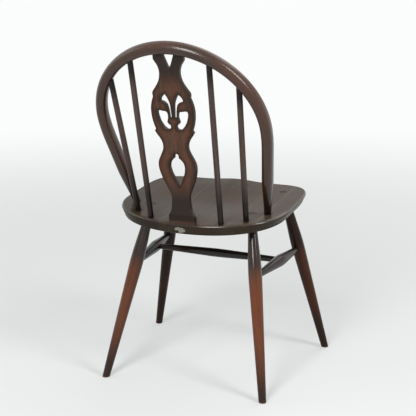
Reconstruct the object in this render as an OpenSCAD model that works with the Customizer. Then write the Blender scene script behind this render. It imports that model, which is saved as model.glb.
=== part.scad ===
// Hoop-back side chair with a pierced thistle splat, all in turned, bent and sawn hardwood.
// +Z is up, the sitter faces -Y, and the sitter's left is +X. Millimetres.
// Depths are measured from the line of the rear feet, and frame_shift then centres the chair.

/* [Seat] */
// Greatest width of the seat
seat_w = 440; // [410:1:460]
// Depth of the seat behind its widest line
seat_back_d = 168.5; // [150:0.5:180]
// Depth of the seat in front of its widest line
seat_front_d = 220; // [200:1:240]
// How far the widest line lies in front of the rear feet
seat_wide_at = 170; // [160:1:180]
// Height of the seat's top at its rear edge
seat_rear_h = 425; // [410:1:440]
// Height of the seat's top at its front edge
seat_front_h = 451; // [440:1:470]
// Thickness of the seat at its edge
seat_t = 25.4; // [23:0.1:30]
// Rise of the seat towards its two sides
seat_side_rise = 6.4; // [3:0.1:8]
// How far the seat's edge leans in from its top to its bottom, at the two sides
seat_side_lean = 8; // [4:0.5:10]
// Height of the ridge between the thighs at the front edge
seat_ridge = 7; // [3:0.5:9]
// Depth of the saddle dish
seat_dish = 7; // [3:0.5:9]
// Radius of the seat's top edge
seat_top_round = 6; // [4:0.5:7]
// Radius of the seat's bottom edge
seat_under_round = 5; // [3:0.5:6]
// Glue line between the middle board and the right board, to the right of the middle
glue_right_at = 168; // [150:1:175]
// Glue line between the middle board and the left board, to the left of the middle
glue_left_at = 62; // [40:1:80]

/* [Bow] */
// Half the distance between the bow's two feet, at the seat's top
bow_foot_x = 176; // [168:1:182]
// How far the bow's feet lie in front of the rear feet
bow_foot_at = 126; // [118:1:134]
// Backward lean of the bow
bow_lean = 26; // [22:0.5:30]
// Outward splay of the bow's straight arms
bow_splay = 7.8; // [6:0.1:9]
// Length of each straight arm
bow_arm = 203; // [185:1:220]
// Radius of the easy bend above each arm
bow_shoulder_r = 400; // [350:10:450]
// Angle of that easy bend
bow_shoulder_angle = 7.2; // [6:0.1:9]
// Section of the bow across its plane, front to back
bow_deep = 32; // [28:0.5:34]
// Section of the bow within its plane
bow_thick = 27; // [25:0.5:30]
// Diameter of the bow's round feet
bow_foot_d = 18; // [16:0.5:19]
// Length over which each arm tapers to its foot
bow_taper = 104; // [80:1:130]

/* [Spindles] */
// Diameter of the spindles
spindle_d = 14; // [12:0.2:15]
// Outer spindles: distance from the middle at the seat
outer_foot_x = 142.7; // [138:0.1:147]
// Outer spindles: distance in front of the rear feet
outer_foot_at = 63.9; // [60:0.1:68]
// Outer spindles: distance from the middle at the bow
outer_head_x = 160.6; // [155:0.1:164]
// Inner spindles: distance from the middle at the seat
inner_foot_x = 91.8; // [88:0.1:96]
// Inner spindles: distance in front of the rear feet
inner_foot_at = 28.4; // [27:0.1:34]
// Inner spindles: distance from the middle at the bow
inner_head_x = 97.5; // [93:0.1:102]
// Depth of the spindle sockets in the seat
spindle_socket = 17; // [14:0.5:19]

/* [Splat] */
// Thickness of the splat
splat_t = 12; // [10:0.5:13]
// Half the width of the splat's foot
splat_foot_half = 33.5; // [30:0.1:36]
// Height of the plinth at the splat's foot
plinth_h = 18; // [14:0.5:19]
// Thickness of the plinth
plinth_t = 14; // [12:0.5:17]
// Half the width of the splat at its fullest
splat_full_half = 53.6; // [52:0.1:57]
// How far the back of the splat's foot lies in front of the rear feet
splat_foot_at = 5; // [5:0.5:10]
// How far the splat leans back for each unit of height, above its bend
splat_slope = 0.186; // [0.17:0.002:0.2]
// Depth of the splat's housing in the seat
splat_housing = 6; // [4:0.5:9]
// Depth of the splat's two prongs in the bow
splat_prong_in = 9; // [6:0.5:11]

/* [Legs] */
// Half the distance between the rear feet
rear_foot_x = 212; // [200:1:220]
// Half the distance between the front feet
front_foot_x = 251; // [240:1:260]
// Distance from the rear feet to the front feet
feet_apart = 411.5; // [400:0.5:425]
// Inward slope of the rear legs for each unit of height
rear_splay_x = 0.178; // [0.16:0.002:0.2]
// Forward slope of the rear legs for each unit of height
rear_splay_y = 0.289; // [0.27:0.001:0.3]
// Inward slope of the front legs for each unit of height
front_splay_x = 0.218; // [0.2:0.002:0.23]
// Backward slope of the front legs for each unit of height
front_splay_y = 0.2055; // [0.19:0.0005:0.22]
// Diameter of a leg at the floor
leg_foot_d = 18.8; // [17:0.2:21]
// Diameter that a leg's two tapers would meet at
leg_swell_d = 35; // [33:0.2:37]
// Distance of that swell from the floor, along the leg
leg_swell_at = 320; // [305:1:330]
// Diameter of a leg where it enters the seat
leg_neck_d = 22; // [21:0.2:24]
// Length of the rounding over the swell
leg_swell_len = 60; // [40:1:80]
// Width of a leg wedge at its thick end
wedge_t = 3.2; // [2.4:0.1:4]
// Depth that a wedge is driven to
wedge_in = 15; // [12:0.5:18]

/* [Stretchers] */
// Height of the side stretchers' centre lines at the rear legs
stretcher_rear_h = 287; // [275:1:300]
// Height of the side stretchers' centre lines at the front legs
stretcher_front_h = 292; // [275:1:300]
// Distance of the side stretchers' swell from the rear legs, along the stretcher
side_swell_at = 148; // [130:1:160]
// Distance of the cross stretcher from the rear legs, along the side stretchers
cross_at = 153; // [140:1:165]
// Diameter of every stretcher at its ends
stretcher_end_d = 15; // [13:0.2:16]
// Diameter that a side stretcher's two tapers would meet at
side_swell_d = 31; // [28:0.2:33]
// Diameter that the cross stretcher's two tapers would meet at
cross_swell_d = 23.4; // [20:0.2:26]
// Length of the rounding over the side stretchers' swell
side_round_len = 22; // [10:1:40]
// Length of the rounding over the cross stretcher's swell
cross_round_len = 60; // [20:2:100]

/* [Fits] */
// Radial clearance of every tenon in its socket
fit_gap = 0.05; // [0.03:0.01:0.1]
// How far a tenon stops short of the bottom of its socket
end_gap = 0.3; // [0.1:0.1:0.6]

/* [Hidden] */
$fn = 48;

bow_brown = [0.23, 0.13, 0.09];
leg_brown = [0.26, 0.14, 0.09];
seat_brown = [0.27, 0.21, 0.18];
wedge_brown = [0.18, 0.12, 0.09];

// How square the plan of the seat is, behind and in front of its widest line
back_squareness = 2.33;
front_squareness = 5.2;
// Depth of the flat bevel under the seat's sides, and the sizes of the ridge and the dish
under_bevel = 30;
ridge_half_w = 60;
ridge_start = 200;
dish_middle_at = 205;
dish_half_w = 190;
dish_half_d = 165;
// Steps round the seat's outline, across its top, and round its edges
seat_steps = 72;
top_steps = 7;
round_steps = 3;
// Sides of the bow's section, and steps along each of its curves
bow_sides = 20;
arm_steps = 5;
shoulder_steps = 2;
crown_steps = 16;
bow_squareness = 2.5;
// Length of the round foot above the seat, and the fine step where the shaved arm meets it
bow_foot_round = 8;
bow_foot_step = 0.3;
// Steps of each smooth stretch of the splat, the splat's drawn height, and its board's cut
curve_steps = 4;
splat_drawn_h = 412.8;
saw_cut = 200;
// Height of the splat's bend: the end of the upright foot, and the start of the straight lean
bend_foot_pull = 80;
bend_lean_pull = 40;
bend_top = 163;
bend_first_back = 3;
bend_back = 29.4;
// Straight length at each end of a stretcher, most of it inside the wood that it enters
rail_straight = 19;
// Turn of every turned piece's seam, away from its slope
seam_turn = 64;
// Room that a cutting shape takes past the wood it cuts
spare = 12;
floor_cut = 8;
far = 400;

seat_half = seat_w / 2;
seat_back_y = seat_back_d - seat_wide_at;
seat_front_y = -seat_front_d - seat_wide_at;
seat_slope = (seat_front_h - seat_rear_h) / (seat_back_y - seat_front_y);

// Height of the seat's flat reference plane, and of the carved top over it
function seat_plane(y) = seat_rear_h + seat_slope * (seat_back_y - y);
function front_share(y) = min(1, max(0, (-y - ridge_start) / (-seat_front_y - ridge_start)));
function dish_share(x, y) =
    let (q = pow(x / dish_half_w, 2) + pow((y + dish_middle_at) / dish_half_d, 2))
    q < 1 ? pow(1 - q, 2) : 0;
function seat_top(x, y) = seat_plane(y) + seat_side_rise * pow(x / seat_half, 2)
    + seat_ridge * front_share(y) * exp(-pow(x / ridge_half_w, 2)) - seat_dish * dish_share(x, y);

// A power that keeps the sign, for outlines between an ellipse and a rectangle
function signed_power(v, p) = sign(v) * pow(abs(v), p);
function seat_outline(a) =
    let (n = sin(a) >= 0 ? back_squareness : front_squareness,
        d = sin(a) >= 0 ? seat_back_d : seat_front_d)
    [seat_half * signed_power(cos(a), 2 / n), d * signed_power(sin(a), 2 / n) - seat_wide_at];
// The outline drawn in by an inset towards the middle of the widest line
function inset_outline(a, inset) =
    let (p = seat_outline(a), v = [p.x, p.y + seat_wide_at], f = 1 - inset / norm(v))
    [v.x * f, v.y * f - seat_wide_at];
// How far the edge leans in over its height, full at the sides and upright at the rear
function edge_lean(a) = seat_side_lean * pow(seat_outline(a).x / seat_half, 2);

seat_angles =[for (i = [0 : seat_steps - 1]) i * 360 / seat_steps];
// Rings of the top, from near the middle out to the rounded edge
top_rings = [for (k = [1 : top_steps]) [for (a = seat_angles)
    let (p = inset_outline(a, seat_top_round), f = k / top_steps,
        q = [p.x * f, (p.y + seat_wide_at) * f - seat_wide_at])
    [q.x, q.y, seat_top(q.x, q.y)]]];
// Rings of the rounded top edge, of the rounded bottom edge and of the bevel below
edge_rings = [for (k = [1 : round_steps]) [for (a = seat_angles)
    let (t = 90 * k / round_steps, o = seat_outline(a), p = inset_outline(a, seat_top_round * (1 - sin(t))))
    [p.x, p.y, seat_top(o.x, o.y) - seat_top_round * (1 - cos(t))]]];
under_rings = [for (k = [0 : round_steps]) [for (a = seat_angles)
    let (t = 90 * k / round_steps, o = seat_outline(a),
        p = inset_outline(a, edge_lean(a) + seat_under_round * (1 - cos(t))))
    [p.x, p.y, seat_top(o.x, o.y) - seat_t + seat_under_round * (1 - sin(t))]]];
bevel_ring = [for (a = seat_angles)
    let (p = inset_outline(a, under_bevel)) [p.x, p.y, seat_plane(p.y) - seat_t]];
seat_rings = concat(top_rings, edge_rings, under_rings, [bevel_ring]);

// Faces that join rings of points of one length into a skin
function skin_faces(rings, count) = [for (k = [0 : rings - 2]) for (i = [0 : count - 1])
    let (j = (i + 1) % count, a = k * count + i, b = k * count + j, c = b + count, d = a + count)
    each [[a, b, c], [a, c, d]]];

module seat_blank() {
    count = seat_steps;
    rings = len(seat_rings);
    middle_top = [0, -seat_wide_at, seat_top(0, -seat_wide_at)];
    middle_under = [0, -seat_wide_at, seat_plane(-seat_wide_at) - seat_t];
    points = concat([for (r = seat_rings) each r], [middle_top, middle_under]);
    top_fan = [for (i = [0 : count - 1]) [rings * count, (i + 1) % count, i]];
    last = (rings - 1) * count;
    under_fan = [for (i = [0 : count - 1]) [rings * count + 1, last + i, last + (i + 1) % count]];
    polyhedron(points, concat(top_fan, skin_faces(rings, count), under_fan));
}

// Places children with their z axis from one point towards another
module along(from, to) {
    v = to - from;
    translate(from) rotate([0, acos(v.z / norm(v)), atan2(v.y, v.x)]) children();
}
// A cylinder that starts before one point and runs past another
module rod(from, to, r, before = 0, past = 0) {
    along(from, to) translate([0, 0, -before]) cylinder(r = r, h = norm(to - from) + before + past);
}
// Everything above a plane that lies parallel to the seat, at a height over its reference plane
module above_seat_plane(offset) {
    translate([0, seat_back_y, seat_rear_h + offset]) rotate([-atan(seat_slope), 0, 0])
        translate([-far, -2 * far, 0]) cube([2 * far, 3 * far, far]);
}

// The bow's plane, with u across and v up the lean, and its curve in that plane
bow_foot_z = seat_top(bow_foot_x, -bow_foot_at);
bow_up = [0, sin(bow_lean), cos(bow_lean)];
bow_front = [0, -cos(bow_lean), sin(bow_lean)];
function bow_place(q) = [q.x, -bow_foot_at, bow_foot_z] + q.y * bow_up;
arm_end = [bow_foot_x + bow_arm * sin(bow_splay), bow_arm * cos(bow_splay)];
shoulder_middle = arm_end - bow_shoulder_r * [cos(bow_splay), -sin(bow_splay)];
crown_start_angle = bow_shoulder_angle - bow_splay;
shoulder_end = shoulder_middle + bow_shoulder_r * [cos(crown_start_angle), sin(crown_start_angle)];
crown_r = shoulder_end.x / cos(crown_start_angle);
crown_middle_v = shoulder_end.y - crown_r * sin(crown_start_angle);

// Stations of one half of the bow: place in the plane, angle of the outward normal, distance from the foot
arm_stations = concat(
    [for (k = [0 : arm_steps]) let (s = bow_foot_round + (bow_taper - bow_foot_round) * k / arm_steps)
        [bow_foot_x + s * sin(bow_splay), s * cos(bow_splay), -bow_splay, s]],
    [[arm_end.x, arm_end.y, -bow_splay, bow_arm]]);
shoulder_stations = [for (k = [1 : shoulder_steps])
    let (a = -bow_splay + bow_shoulder_angle * k / shoulder_steps)
    [shoulder_middle.x + bow_shoulder_r * cos(a), shoulder_middle.y + bow_shoulder_r * sin(a), a, bow_arm]];
crown_stations = [for (k = [1 : crown_steps])
    let (a = crown_start_angle + (90 - crown_start_angle) * k / crown_steps)
    [crown_r * cos(a), crown_middle_v + crown_r * sin(a), a, bow_arm]];
left_stations = concat(arm_stations, shoulder_stations, crown_stations);
right_stations = [for (k = [len(left_stations) - 2 : -1 : 0])
    let (s = left_stations[k]) [-s[0], s[1], 180 - s[2], s[3]]];
bow_stations = concat(left_stations, right_stations);

// A share of 0 is the round foot's section and 1 the full section
function bow_share(s) = min(1, max(0, (s - bow_foot_round) / (bow_taper - bow_foot_round)));
function bow_ring(st) =
    let (f = bow_share(st[3]), least = bow_foot_d + 2 * bow_foot_step,
        thick = least + (bow_thick - least) * f, deep = least + (bow_deep - least) * f,
        p = 2 / (2 + (bow_squareness - 2) * f),
        out = cos(st[2]) * [1, 0, 0] + sin(st[2]) * bow_up, middle = bow_place([st[0], st[1]]))
    [for (i = [0 : bow_sides - 1]) let (a = i * 360 / bow_sides)
        middle + thick / 2 * signed_power(cos(a), p) * out + deep / 2 * signed_power(sin(a), p) * bow_front];
bow_rings = [for (st = bow_stations) bow_ring(st)];
crown_ring = bow_rings[len(left_stations) - 1];

module bow_skin() {
    rings = len(bow_rings);
    last = (rings - 1) * bow_sides;
    foot_cap = [for (i = [0 : bow_sides - 1]) bow_sides - 1 - i];
    far_cap = [for (i = [0 : bow_sides - 1]) last + i];
    polyhedron([for (r = bow_rings) each r], concat([foot_cap], skin_faces(rings, bow_sides), [far_cap]));
}
// A point of the bow's centre line, at a distance from the middle and above its widest line
function bow_over(x) = bow_place([x, crown_middle_v + sqrt(pow(crown_r, 2) - pow(x, 2))]);
// One foot of the bow and a point below it on the same line
function bow_foot(side) = [side * bow_foot_x, -bow_foot_at, bow_foot_z];
function bow_below(side) =
    bow_foot(side) - 2 * seat_t * (side * sin(bow_splay) * [1, 0, 0] + cos(bow_splay) * bow_up);
// Distance along an arm of the bow from the seat's top to its flat underside
bow_foot_depth = (bow_foot_z - seat_plane(-bow_foot_at) + seat_t)
    / (cos(bow_splay) * (cos(bow_lean) + seat_slope * sin(bow_lean)));

// Spindle lines: the foot on the seat's top and the head on the bow's centre line
function spindle_foot(x, at) = [x, -at, seat_top(x, -at)];
function toward(a, b, d) = a + d * (b - a) / norm(b - a);
module spindle(side, foot_x, foot_at, head_x) {
    foot = spindle_foot(side * foot_x, foot_at);
    head = bow_over(side * head_x);
    rod(toward(foot, head, end_gap - spindle_socket), toward(head, foot, end_gap), spindle_d / 2);
}
module spindle_seat_socket(side, foot_x, foot_at, head_x) {
    foot = spindle_foot(side * foot_x, foot_at);
    head = bow_over(side * head_x);
    rod(toward(foot, head, -spindle_socket), toward(foot, head, spare), spindle_d / 2 + fit_gap);
}
module spindle_bow_socket(side, foot_x, foot_at, head_x) {
    foot = spindle_foot(side * foot_x, foot_at);
    head = bow_over(side * head_x);
    rod(head, toward(head, foot, bow_deep), spindle_d / 2 + fit_gap);
}

// Leg lines, from the floor to above the seat
function leg_foot(side, front) = [side * (front ? front_foot_x : rear_foot_x), front ? -feet_apart : 0, 0];
function leg_way(side, front) =
    [-side * (front ? front_splay_x : rear_splay_x), front ? front_splay_y : -rear_splay_y, 1];
function leg_at(side, front, h) = leg_foot(side, front) + h * leg_way(side, front);
function leg_top_h(side, front, h) = let (p = leg_at(side, front, h)) seat_top(p.x, p.y);
// The height at which a leg's line meets the seat's top, found by two refinements
function leg_meets(side, front) = leg_top_h(side, front, leg_top_h(side, front, seat_front_h));
function leg_length(side, front) = leg_meets(side, front) * norm(leg_way(side, front));

// A leg's outline: straight tapers that meet at the swell, rounded over it
function bezier2(a, b, c, t) = pow(1 - t, 2) * a + 2 * t * (1 - t) * b + t * t * c;
module leg_shape(neck_at, top_at) {
    foot_r = leg_foot_d / 2;
    swell = [leg_swell_d / 2, leg_swell_at];
    neck = [leg_neck_d / 2, neck_at];
    low = toward(swell, [foot_r, 0], leg_swell_len / 2);
    high = toward(swell, neck, leg_swell_len / 2);
    below = toward([foot_r, 0], swell, -floor_cut);
    rounding = [for (k = [0 : 8]) bezier2(low, swell, high, k / 8)];
    rotate([0, 0, seam_turn]) rotate_extrude()
        polygon(concat([[0, below.y], below], rounding, [neck, [neck.x, top_at], [0, top_at]]));
}
module in_leg_frame(side, front) {
    along(leg_foot(side, front), leg_at(side, front, 1)) children();
}
// Offset of the seat's carved top from the reference plane where a leg comes through
function leg_flush(side, front) =
    let (p = leg_at(side, front, leg_meets(side, front))) p.z - seat_plane(p.y) - end_gap;
// A wedge or its slot across the end of a tenon, thick end up at the given distance
module wedge_shape(top_at, r, gap) {
    half = wedge_t / 2 + gap;
    tip = wedge_t / 8 + gap;
    slope = (half - tip) / wedge_in;
    translate([-r, 0, top_at]) rotate([90, 0, 90]) linear_extrude(2 * r)
        polygon([[-tip, -wedge_in - gap], [tip, -wedge_in - gap], [half + slope * spare, spare],
            [-half - slope * spare, spare]]);
}
module leg(side, front) {
    top_at = leg_length(side, front);
    difference() {
        in_leg_frame(side, front) leg_shape(top_at - seat_t - under_bevel / 4, top_at + spare);
        translate([-far, -2 * far, -2 * floor_cut]) cube([2 * far, 3 * far, 2 * floor_cut]);
        above_seat_plane(leg_flush(side, front));
        leg_kerf(side, front);
        side_stretcher_rod(side, stretcher_end_d / 2 + fit_gap, 0);
    }
}
module leg_kerf(side, front) {
    in_leg_frame(side, front) wedge_turn(side, front)
        wedge_shape(leg_length(side, front), leg_neck_d, fit_gap);
}
// Turns a wedge so that it lies across the grain of the seat
module wedge_turn(side, front) {
    way = leg_way(side, front);
    rotate([0, 0, -atan2(way.y, way.x)]) children();
}
module leg_wedge(side, front) {
    color(wedge_brown) in_chair_frame() difference() {
        intersection() {
            in_leg_frame(side, front) wedge_turn(side, front)
                wedge_shape(leg_length(side, front), leg_neck_d, 0);
            in_leg_frame(side, front) cylinder(d = leg_neck_d, h = leg_length(side, front) + spare);
        }
        above_seat_plane(leg_flush(side, front));
    }
}
module leg_seat_socket(side, front) {
    in_leg_frame(side, front) translate([0, 0, leg_length(side, front) - 2 * seat_t])
        cylinder(r = leg_neck_d / 2 + fit_gap, h = 2 * seat_t + spare);
}

// Stretcher lines between the legs, and across between the side stretchers
function side_end(side, front) = leg_at(side, front, front ? stretcher_front_h : stretcher_rear_h);
function cross_end(side) = toward(side_end(side, false), side_end(side, true), cross_at);
module side_stretcher_rod(side, r, gap) {
    rod(toward(side_end(side, true), side_end(side, false), gap),
        toward(side_end(side, false), side_end(side, true), gap), r);
}
// A turned rail: straight tapers from its ends to a rounded swell, at a distance from its start
module turned_rail(from, to, swell_at, swell_d, round_len) {
    length = norm(to - from);
    straight = rail_straight;
    crest = [swell_d / 2, swell_at];
    low = toward(crest, [stretcher_end_d / 2, straight], round_len / 2);
    high = toward(crest, [stretcher_end_d / 2, length - straight], round_len / 2);
    rounding = [for (k = [0 : 6]) bezier2(low, crest, high, k / 6)];
    along(from, to) rotate([0, 0, seam_turn]) rotate_extrude()
        polygon(concat([[0, 0], [stretcher_end_d / 2, 0], [stretcher_end_d / 2, straight]], rounding,
            [[stretcher_end_d / 2, length - straight], [stretcher_end_d / 2, length], [0, length]]));
}

// The splat's back face in side view: an upright foot, a bend and a straight lean
splat_foot_z = seat_top(0, -splat_foot_at) - splat_housing;
splat_base = [-splat_foot_at, splat_foot_z];
splat_drawn_z = seat_top(0, -splat_foot_at);
bend_end = [-splat_foot_at + bend_back, splat_drawn_z + bend_top];
function bezier3(p, t) =
    pow(1 - t, 3) * p[0] + 3 * t * pow(1 - t, 2) * p[1] + 3 * t * t * (1 - t) * p[2] + pow(t, 3) * p[3];
bend_curve = [[-splat_foot_at, splat_drawn_z],
    [-splat_foot_at + bend_first_back, splat_drawn_z + bend_foot_pull],
    bend_end - bend_lean_pull * [splat_slope, 1], bend_end];
bend_steps = 10;
// The bow's crown, and the end of the prongs in it
bow_crown = bow_over(0);
splat_top_z = bow_crown.z - bow_thick / 2 + splat_prong_in - 1.5;
back_face = concat([splat_base], [for (k = [0 : bend_steps]) bezier3(bend_curve, k / bend_steps)],
    [bend_end + (splat_top_z + spare - bend_end.y) * [splat_slope, 1]]);
function face_normal(k) =
    let (a = back_face[max(0, k - 1)], b = back_face[min(len(back_face) - 1, k + 1)],
        v = (b - a) / norm(b - a))
    [-v.y, v.x];
front_face = [for (k = [len(back_face) - 1 : -1 : 0]) back_face[k] + splat_t * face_normal(k)];

// Smooth curve through points, from the first to the last
function near_point(p, k) = p[min(len(p) - 1, max(0, k))];
function smooth(p) = concat([for (k = [0 : len(p) - 2]) for (i = [0 : curve_steps - 1])
    let (t = i / curve_steps, a = near_point(p, k - 1), b = p[k], c = p[k + 1], d = near_point(p, k + 2))
    0.5 * (2 * b + t * (c - a) + t * t * (2 * a - 5 * b + 4 * c - d) + t * t * t * (3 * b - 3 * c + d - a))],
    [p[len(p) - 1]]);
// The same through a closed loop of points
function smooth_loop(p) = [for (k = [0 : len(p) - 1]) for (i = [0 : curve_steps - 1])
    let (t = i / curve_steps, n = len(p), a = p[(k + n - 1) % n], b = p[k], c = p[(k + 1) % n],
        d = p[(k + 2) % n])
    0.5 * (2 * b + t * (c - a) + t * t * (2 * a - 5 * b + 4 * c - d) + t * t * t * (3 * b - 3 * c + d - a))];
function mirrored(p) = [for (k = [len(p) - 1 : -1 : 0]) [-p[k].x, p[k].y]];

// The splat's left half, drawn from the seat's top up, in stretches between its corners
splat_rise = (bow_crown.z - bow_thick / 2 - splat_drawn_z) / splat_drawn_h;
flare_stretch = [[splat_foot_half + 1.3, plinth_h + 1], [26.8, 30.9], [23.3, 48.9], [22.6, 61.8],
    [23.8, 72.8], [27.6, 81.8], [33.2, 94.7], [39.4, 108.7], [44.8, 125.7], [47.4, 142.6], [45.4, 156.6],
    [38.4, 171.5], [33, 182.5], [31, 191.5], [32, 201.5], [36.4, 211.4], [43.2, 220.9], [48.6, 229.4]];
leaf_stretch = [[45.4, 234.9], [49.4, 246.3], [52.6, 261.3], [splat_full_half, 276.3], [52.8, 288.2],
    [49.6, 301.2], [45.6, 311.7]];
neck_stretch = [[45.6, 311.7], [46.6, 318.6], [44.8, 324.6], [38.8, 332.6], [31.4, 343.6], [26.7, 354.5],
    [24.8, 367], [25.6, 376], [28.6, 385], [33.1, 391.9], [37.4, 398.4]];
prong_stretch = [[14.2, 411.9], [9.6, 398.9], [4.2, 385], [0, 378.5]];
prong_outer = 37.4;
prong_inner = 14.2;
prong_end = splat_drawn_h + spare;
half_outline = concat([[splat_foot_half - 1, -splat_housing - spare], [splat_foot_half - 1, plinth_h + 0.5]],
    smooth(flare_stretch), smooth(leaf_stretch), smooth(neck_stretch), [[prong_outer, prong_end],
        [prong_inner, prong_end]], smooth(prong_stretch));
// The pierced thistle: a petal hole, a leaf hole on each side, and a drop with a nub at its top
petal_top = [[16, 318.5], [21, 315.8], [27, 309.2], [28.8, 303.2]];
petal_outer = [[28.8, 303.2], [21, 300.4], [15.5, 295.8], [12.8, 290.2], [10.5, 278.3], [9.3, 263.3]];
petal_inner = [[2.4, 263.3], [3.5, 277.3], [4.4, 291.2], [5.9, 299.2], [10.5, 310.2], [16, 318.5]];
petal_hole = concat(smooth(petal_top), smooth(petal_outer), smooth(petal_inner));
leaf_edge = [[37.2, 278.7], [31.7, 279.4], [24, 278.1], [17.2, 277.5], [13, 273.3], [12, 263.8],
    [13.6, 256.9], [14.6, 252.5], [11.8, 248.1], [7.2, 244.3], [6.9, 239.4], [10.4, 235.4], [17, 235],
    [23.5, 238.8], [29.5, 245.9], [34.6, 255.3], [37.8, 266.3], [38.8, 273.3]];
leaf_hole = smooth_loop(leaf_edge);
drop_edge = [[0, 91.8], [7, 105.1], [11.2, 114.7], [16, 125.3], [18.7, 135.6], [19.4, 144.6], [16.9, 154.6],
    [10.4, 162.2], [6.4, 165]];
drop_nub = [[6.4, 165], [6.6, 169.5], [4.4, 174.1], [0, 176.1]];
drop_half = concat(smooth(drop_edge), smooth(drop_nub));

module splat_outline() {
    scale([1, splat_rise]) difference() {
        polygon(concat(half_outline, mirrored(half_outline)));
        for (side = [0, 1]) mirror([side, 0]) {
            polygon(petal_hole);
            polygon(leaf_hole);
        }
        polygon(concat(drop_half, mirrored(drop_half)));
    }
}
// The board that the splat is sawn from, in side view
module splat_board() {
    translate([-saw_cut / 2, 0, 0]) rotate([90, 0, 90]) linear_extrude(saw_cut)
        intersection() {
            polygon(concat(back_face, front_face));
            translate([-far, splat_foot_z]) square([2 * far, splat_top_z - splat_foot_z]);
        }
}

// What is cut out of the seat and of the bow for the pieces that they hold
module seat_cuts() {
    for (side = [-1, 1]) {
        rod(bow_below(side), bow_foot(side), bow_foot_d / 2 + fit_gap, 0, spare);
        spindle_seat_socket(side, outer_foot_x, outer_foot_at, outer_head_x);
        spindle_seat_socket(side, inner_foot_x, inner_foot_at, inner_head_x);
        for (front = [false, true]) leg_seat_socket(side, front);
    }
    translate([-splat_foot_half - fit_gap, -splat_foot_at - plinth_t - fit_gap, splat_foot_z - fit_gap])
        cube([2 * (splat_foot_half + fit_gap), plinth_t + 2 * fit_gap, spare + splat_housing]);
}
module bow_cuts() {
    for (side = [-1, 1]) {
        spindle_bow_socket(side, outer_foot_x, outer_foot_at, outer_head_x);
        spindle_bow_socket(side, inner_foot_x, inner_foot_at, inner_head_x);
    }
    prong_mortises();
}
// Two slots in the bow's underside that follow the leaning prongs
module prong_mortises() {
    lean = atan(splat_slope);
    reach = splat_top_z + fit_gap;
    for (side = [0, 1]) mirror([side, 0, 0]) intersection() {
        translate([0, bend_end.x, bend_end.y]) rotate([-lean, 0, 0])
            translate([prong_inner - fit_gap, -splat_t - fit_gap, 0])
                cube([prong_outer - prong_inner + 2 * fit_gap, splat_t + 2 * fit_gap, far]);
        translate([-far, -far, reach - far]) cube([2 * far, 2 * far, far]);
    }
}

// Depth of the chair: the back of the crown and the front of the front feet
front_foot_reach = leg_foot_d / 2 * norm([1, front_splay_y]);
back_reach = max([for (p = crown_ring) p.y]);
frame_shift = (feet_apart + front_foot_reach - back_reach) / 2;
module in_chair_frame() {
    translate([0, frame_shift, 0]) children();
}

// A board of the seat between two glue lines
module seat_board(from, to) {
    color(seat_brown) in_chair_frame() difference() {
        intersection() {
            seat_blank();
            translate([from, -far - far / 2, 0]) cube([to - from, 2 * far, 2 * far]);
        }
        seat_cuts();
    }
}
module seat_board_left() {
    seat_board(glue_left_at, far);
}
module seat_board_middle() {
    seat_board(-glue_right_at, glue_left_at);
}
module seat_board_right() {
    seat_board(-far, -glue_right_at);
}

// A wedge driven up into a foot of the bow from below, across the grain of the seat
module bow_foot_kerf(side, gap) {
    v = bow_foot(side) - bow_below(side);
    along(bow_below(side), bow_foot(side)) rotate([0, 0, -atan2(v.y, v.x)])
        translate([0, 0, 2 * seat_t - bow_foot_depth]) mirror([0, 0, 1]) wedge_shape(0, bow_foot_d, gap);
}
module bow() {
    color(bow_brown) in_chair_frame() difference() {
        union() {
            bow_skin();
            for (side = [-1, 1]) rod(bow_below(side), bow_foot(side), bow_foot_d / 2, 0, bow_foot_round + 2);
        }
        bow_cuts();
        below_seat();
        for (side = [-1, 1]) bow_foot_kerf(side, fit_gap);
    }
}
// Everything below the seat's underside at the bow's feet
module below_seat() {
    translate([0, seat_back_y, seat_rear_h - seat_t + end_gap]) rotate([-atan(seat_slope), 0, 0])
        translate([-far, -2 * far, -far]) cube([2 * far, 3 * far, far]);
}
module bow_wedge(side) {
    color(wedge_brown) in_chair_frame() difference() {
        intersection() {
            bow_foot_kerf(side, 0);
            rod(bow_below(side), bow_foot(side), bow_foot_d / 2);
        }
        below_seat();
    }
}
module bow_wedge_left() {
    bow_wedge(1);
}
module bow_wedge_right() {
    bow_wedge(-1);
}

module splat_plinth() {
    translate([-splat_foot_half, -splat_foot_at - plinth_t, splat_foot_z])
        cube([2 * splat_foot_half, plinth_t, plinth_h + splat_housing]);
}
module splat() {
    color(bow_brown) in_chair_frame() union() {
        splat_plinth();
        intersection() {
            splat_board();
            translate([0, saw_cut, splat_drawn_z]) rotate([90, 0, 0]) linear_extrude(2 * saw_cut)
                splat_outline();
        }
    }
}

module spindle_left_outer() {
    color(bow_brown) in_chair_frame() spindle(1, outer_foot_x, outer_foot_at, outer_head_x);
}
module spindle_left_inner() {
    color(bow_brown) in_chair_frame() spindle(1, inner_foot_x, inner_foot_at, inner_head_x);
}
module spindle_right_inner() {
    color(bow_brown) in_chair_frame() spindle(-1, inner_foot_x, inner_foot_at, inner_head_x);
}
module spindle_right_outer() {
    color(bow_brown) in_chair_frame() spindle(-1, outer_foot_x, outer_foot_at, outer_head_x);
}

module leg_rear_left() {
    color(leg_brown) in_chair_frame() leg(1, false);
}
module leg_rear_right() {
    color(leg_brown) in_chair_frame() leg(-1, false);
}
module leg_front_left() {
    color(leg_brown) in_chair_frame() leg(1, true);
}
module leg_front_right() {
    color(leg_brown) in_chair_frame() leg(-1, true);
}
module leg_wedge_rear_left() {
    leg_wedge(1, false);
}
module leg_wedge_rear_right() {
    leg_wedge(-1, false);
}
module leg_wedge_front_left() {
    leg_wedge(1, true);
}
module leg_wedge_front_right() {
    leg_wedge(-1, true);
}

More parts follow.
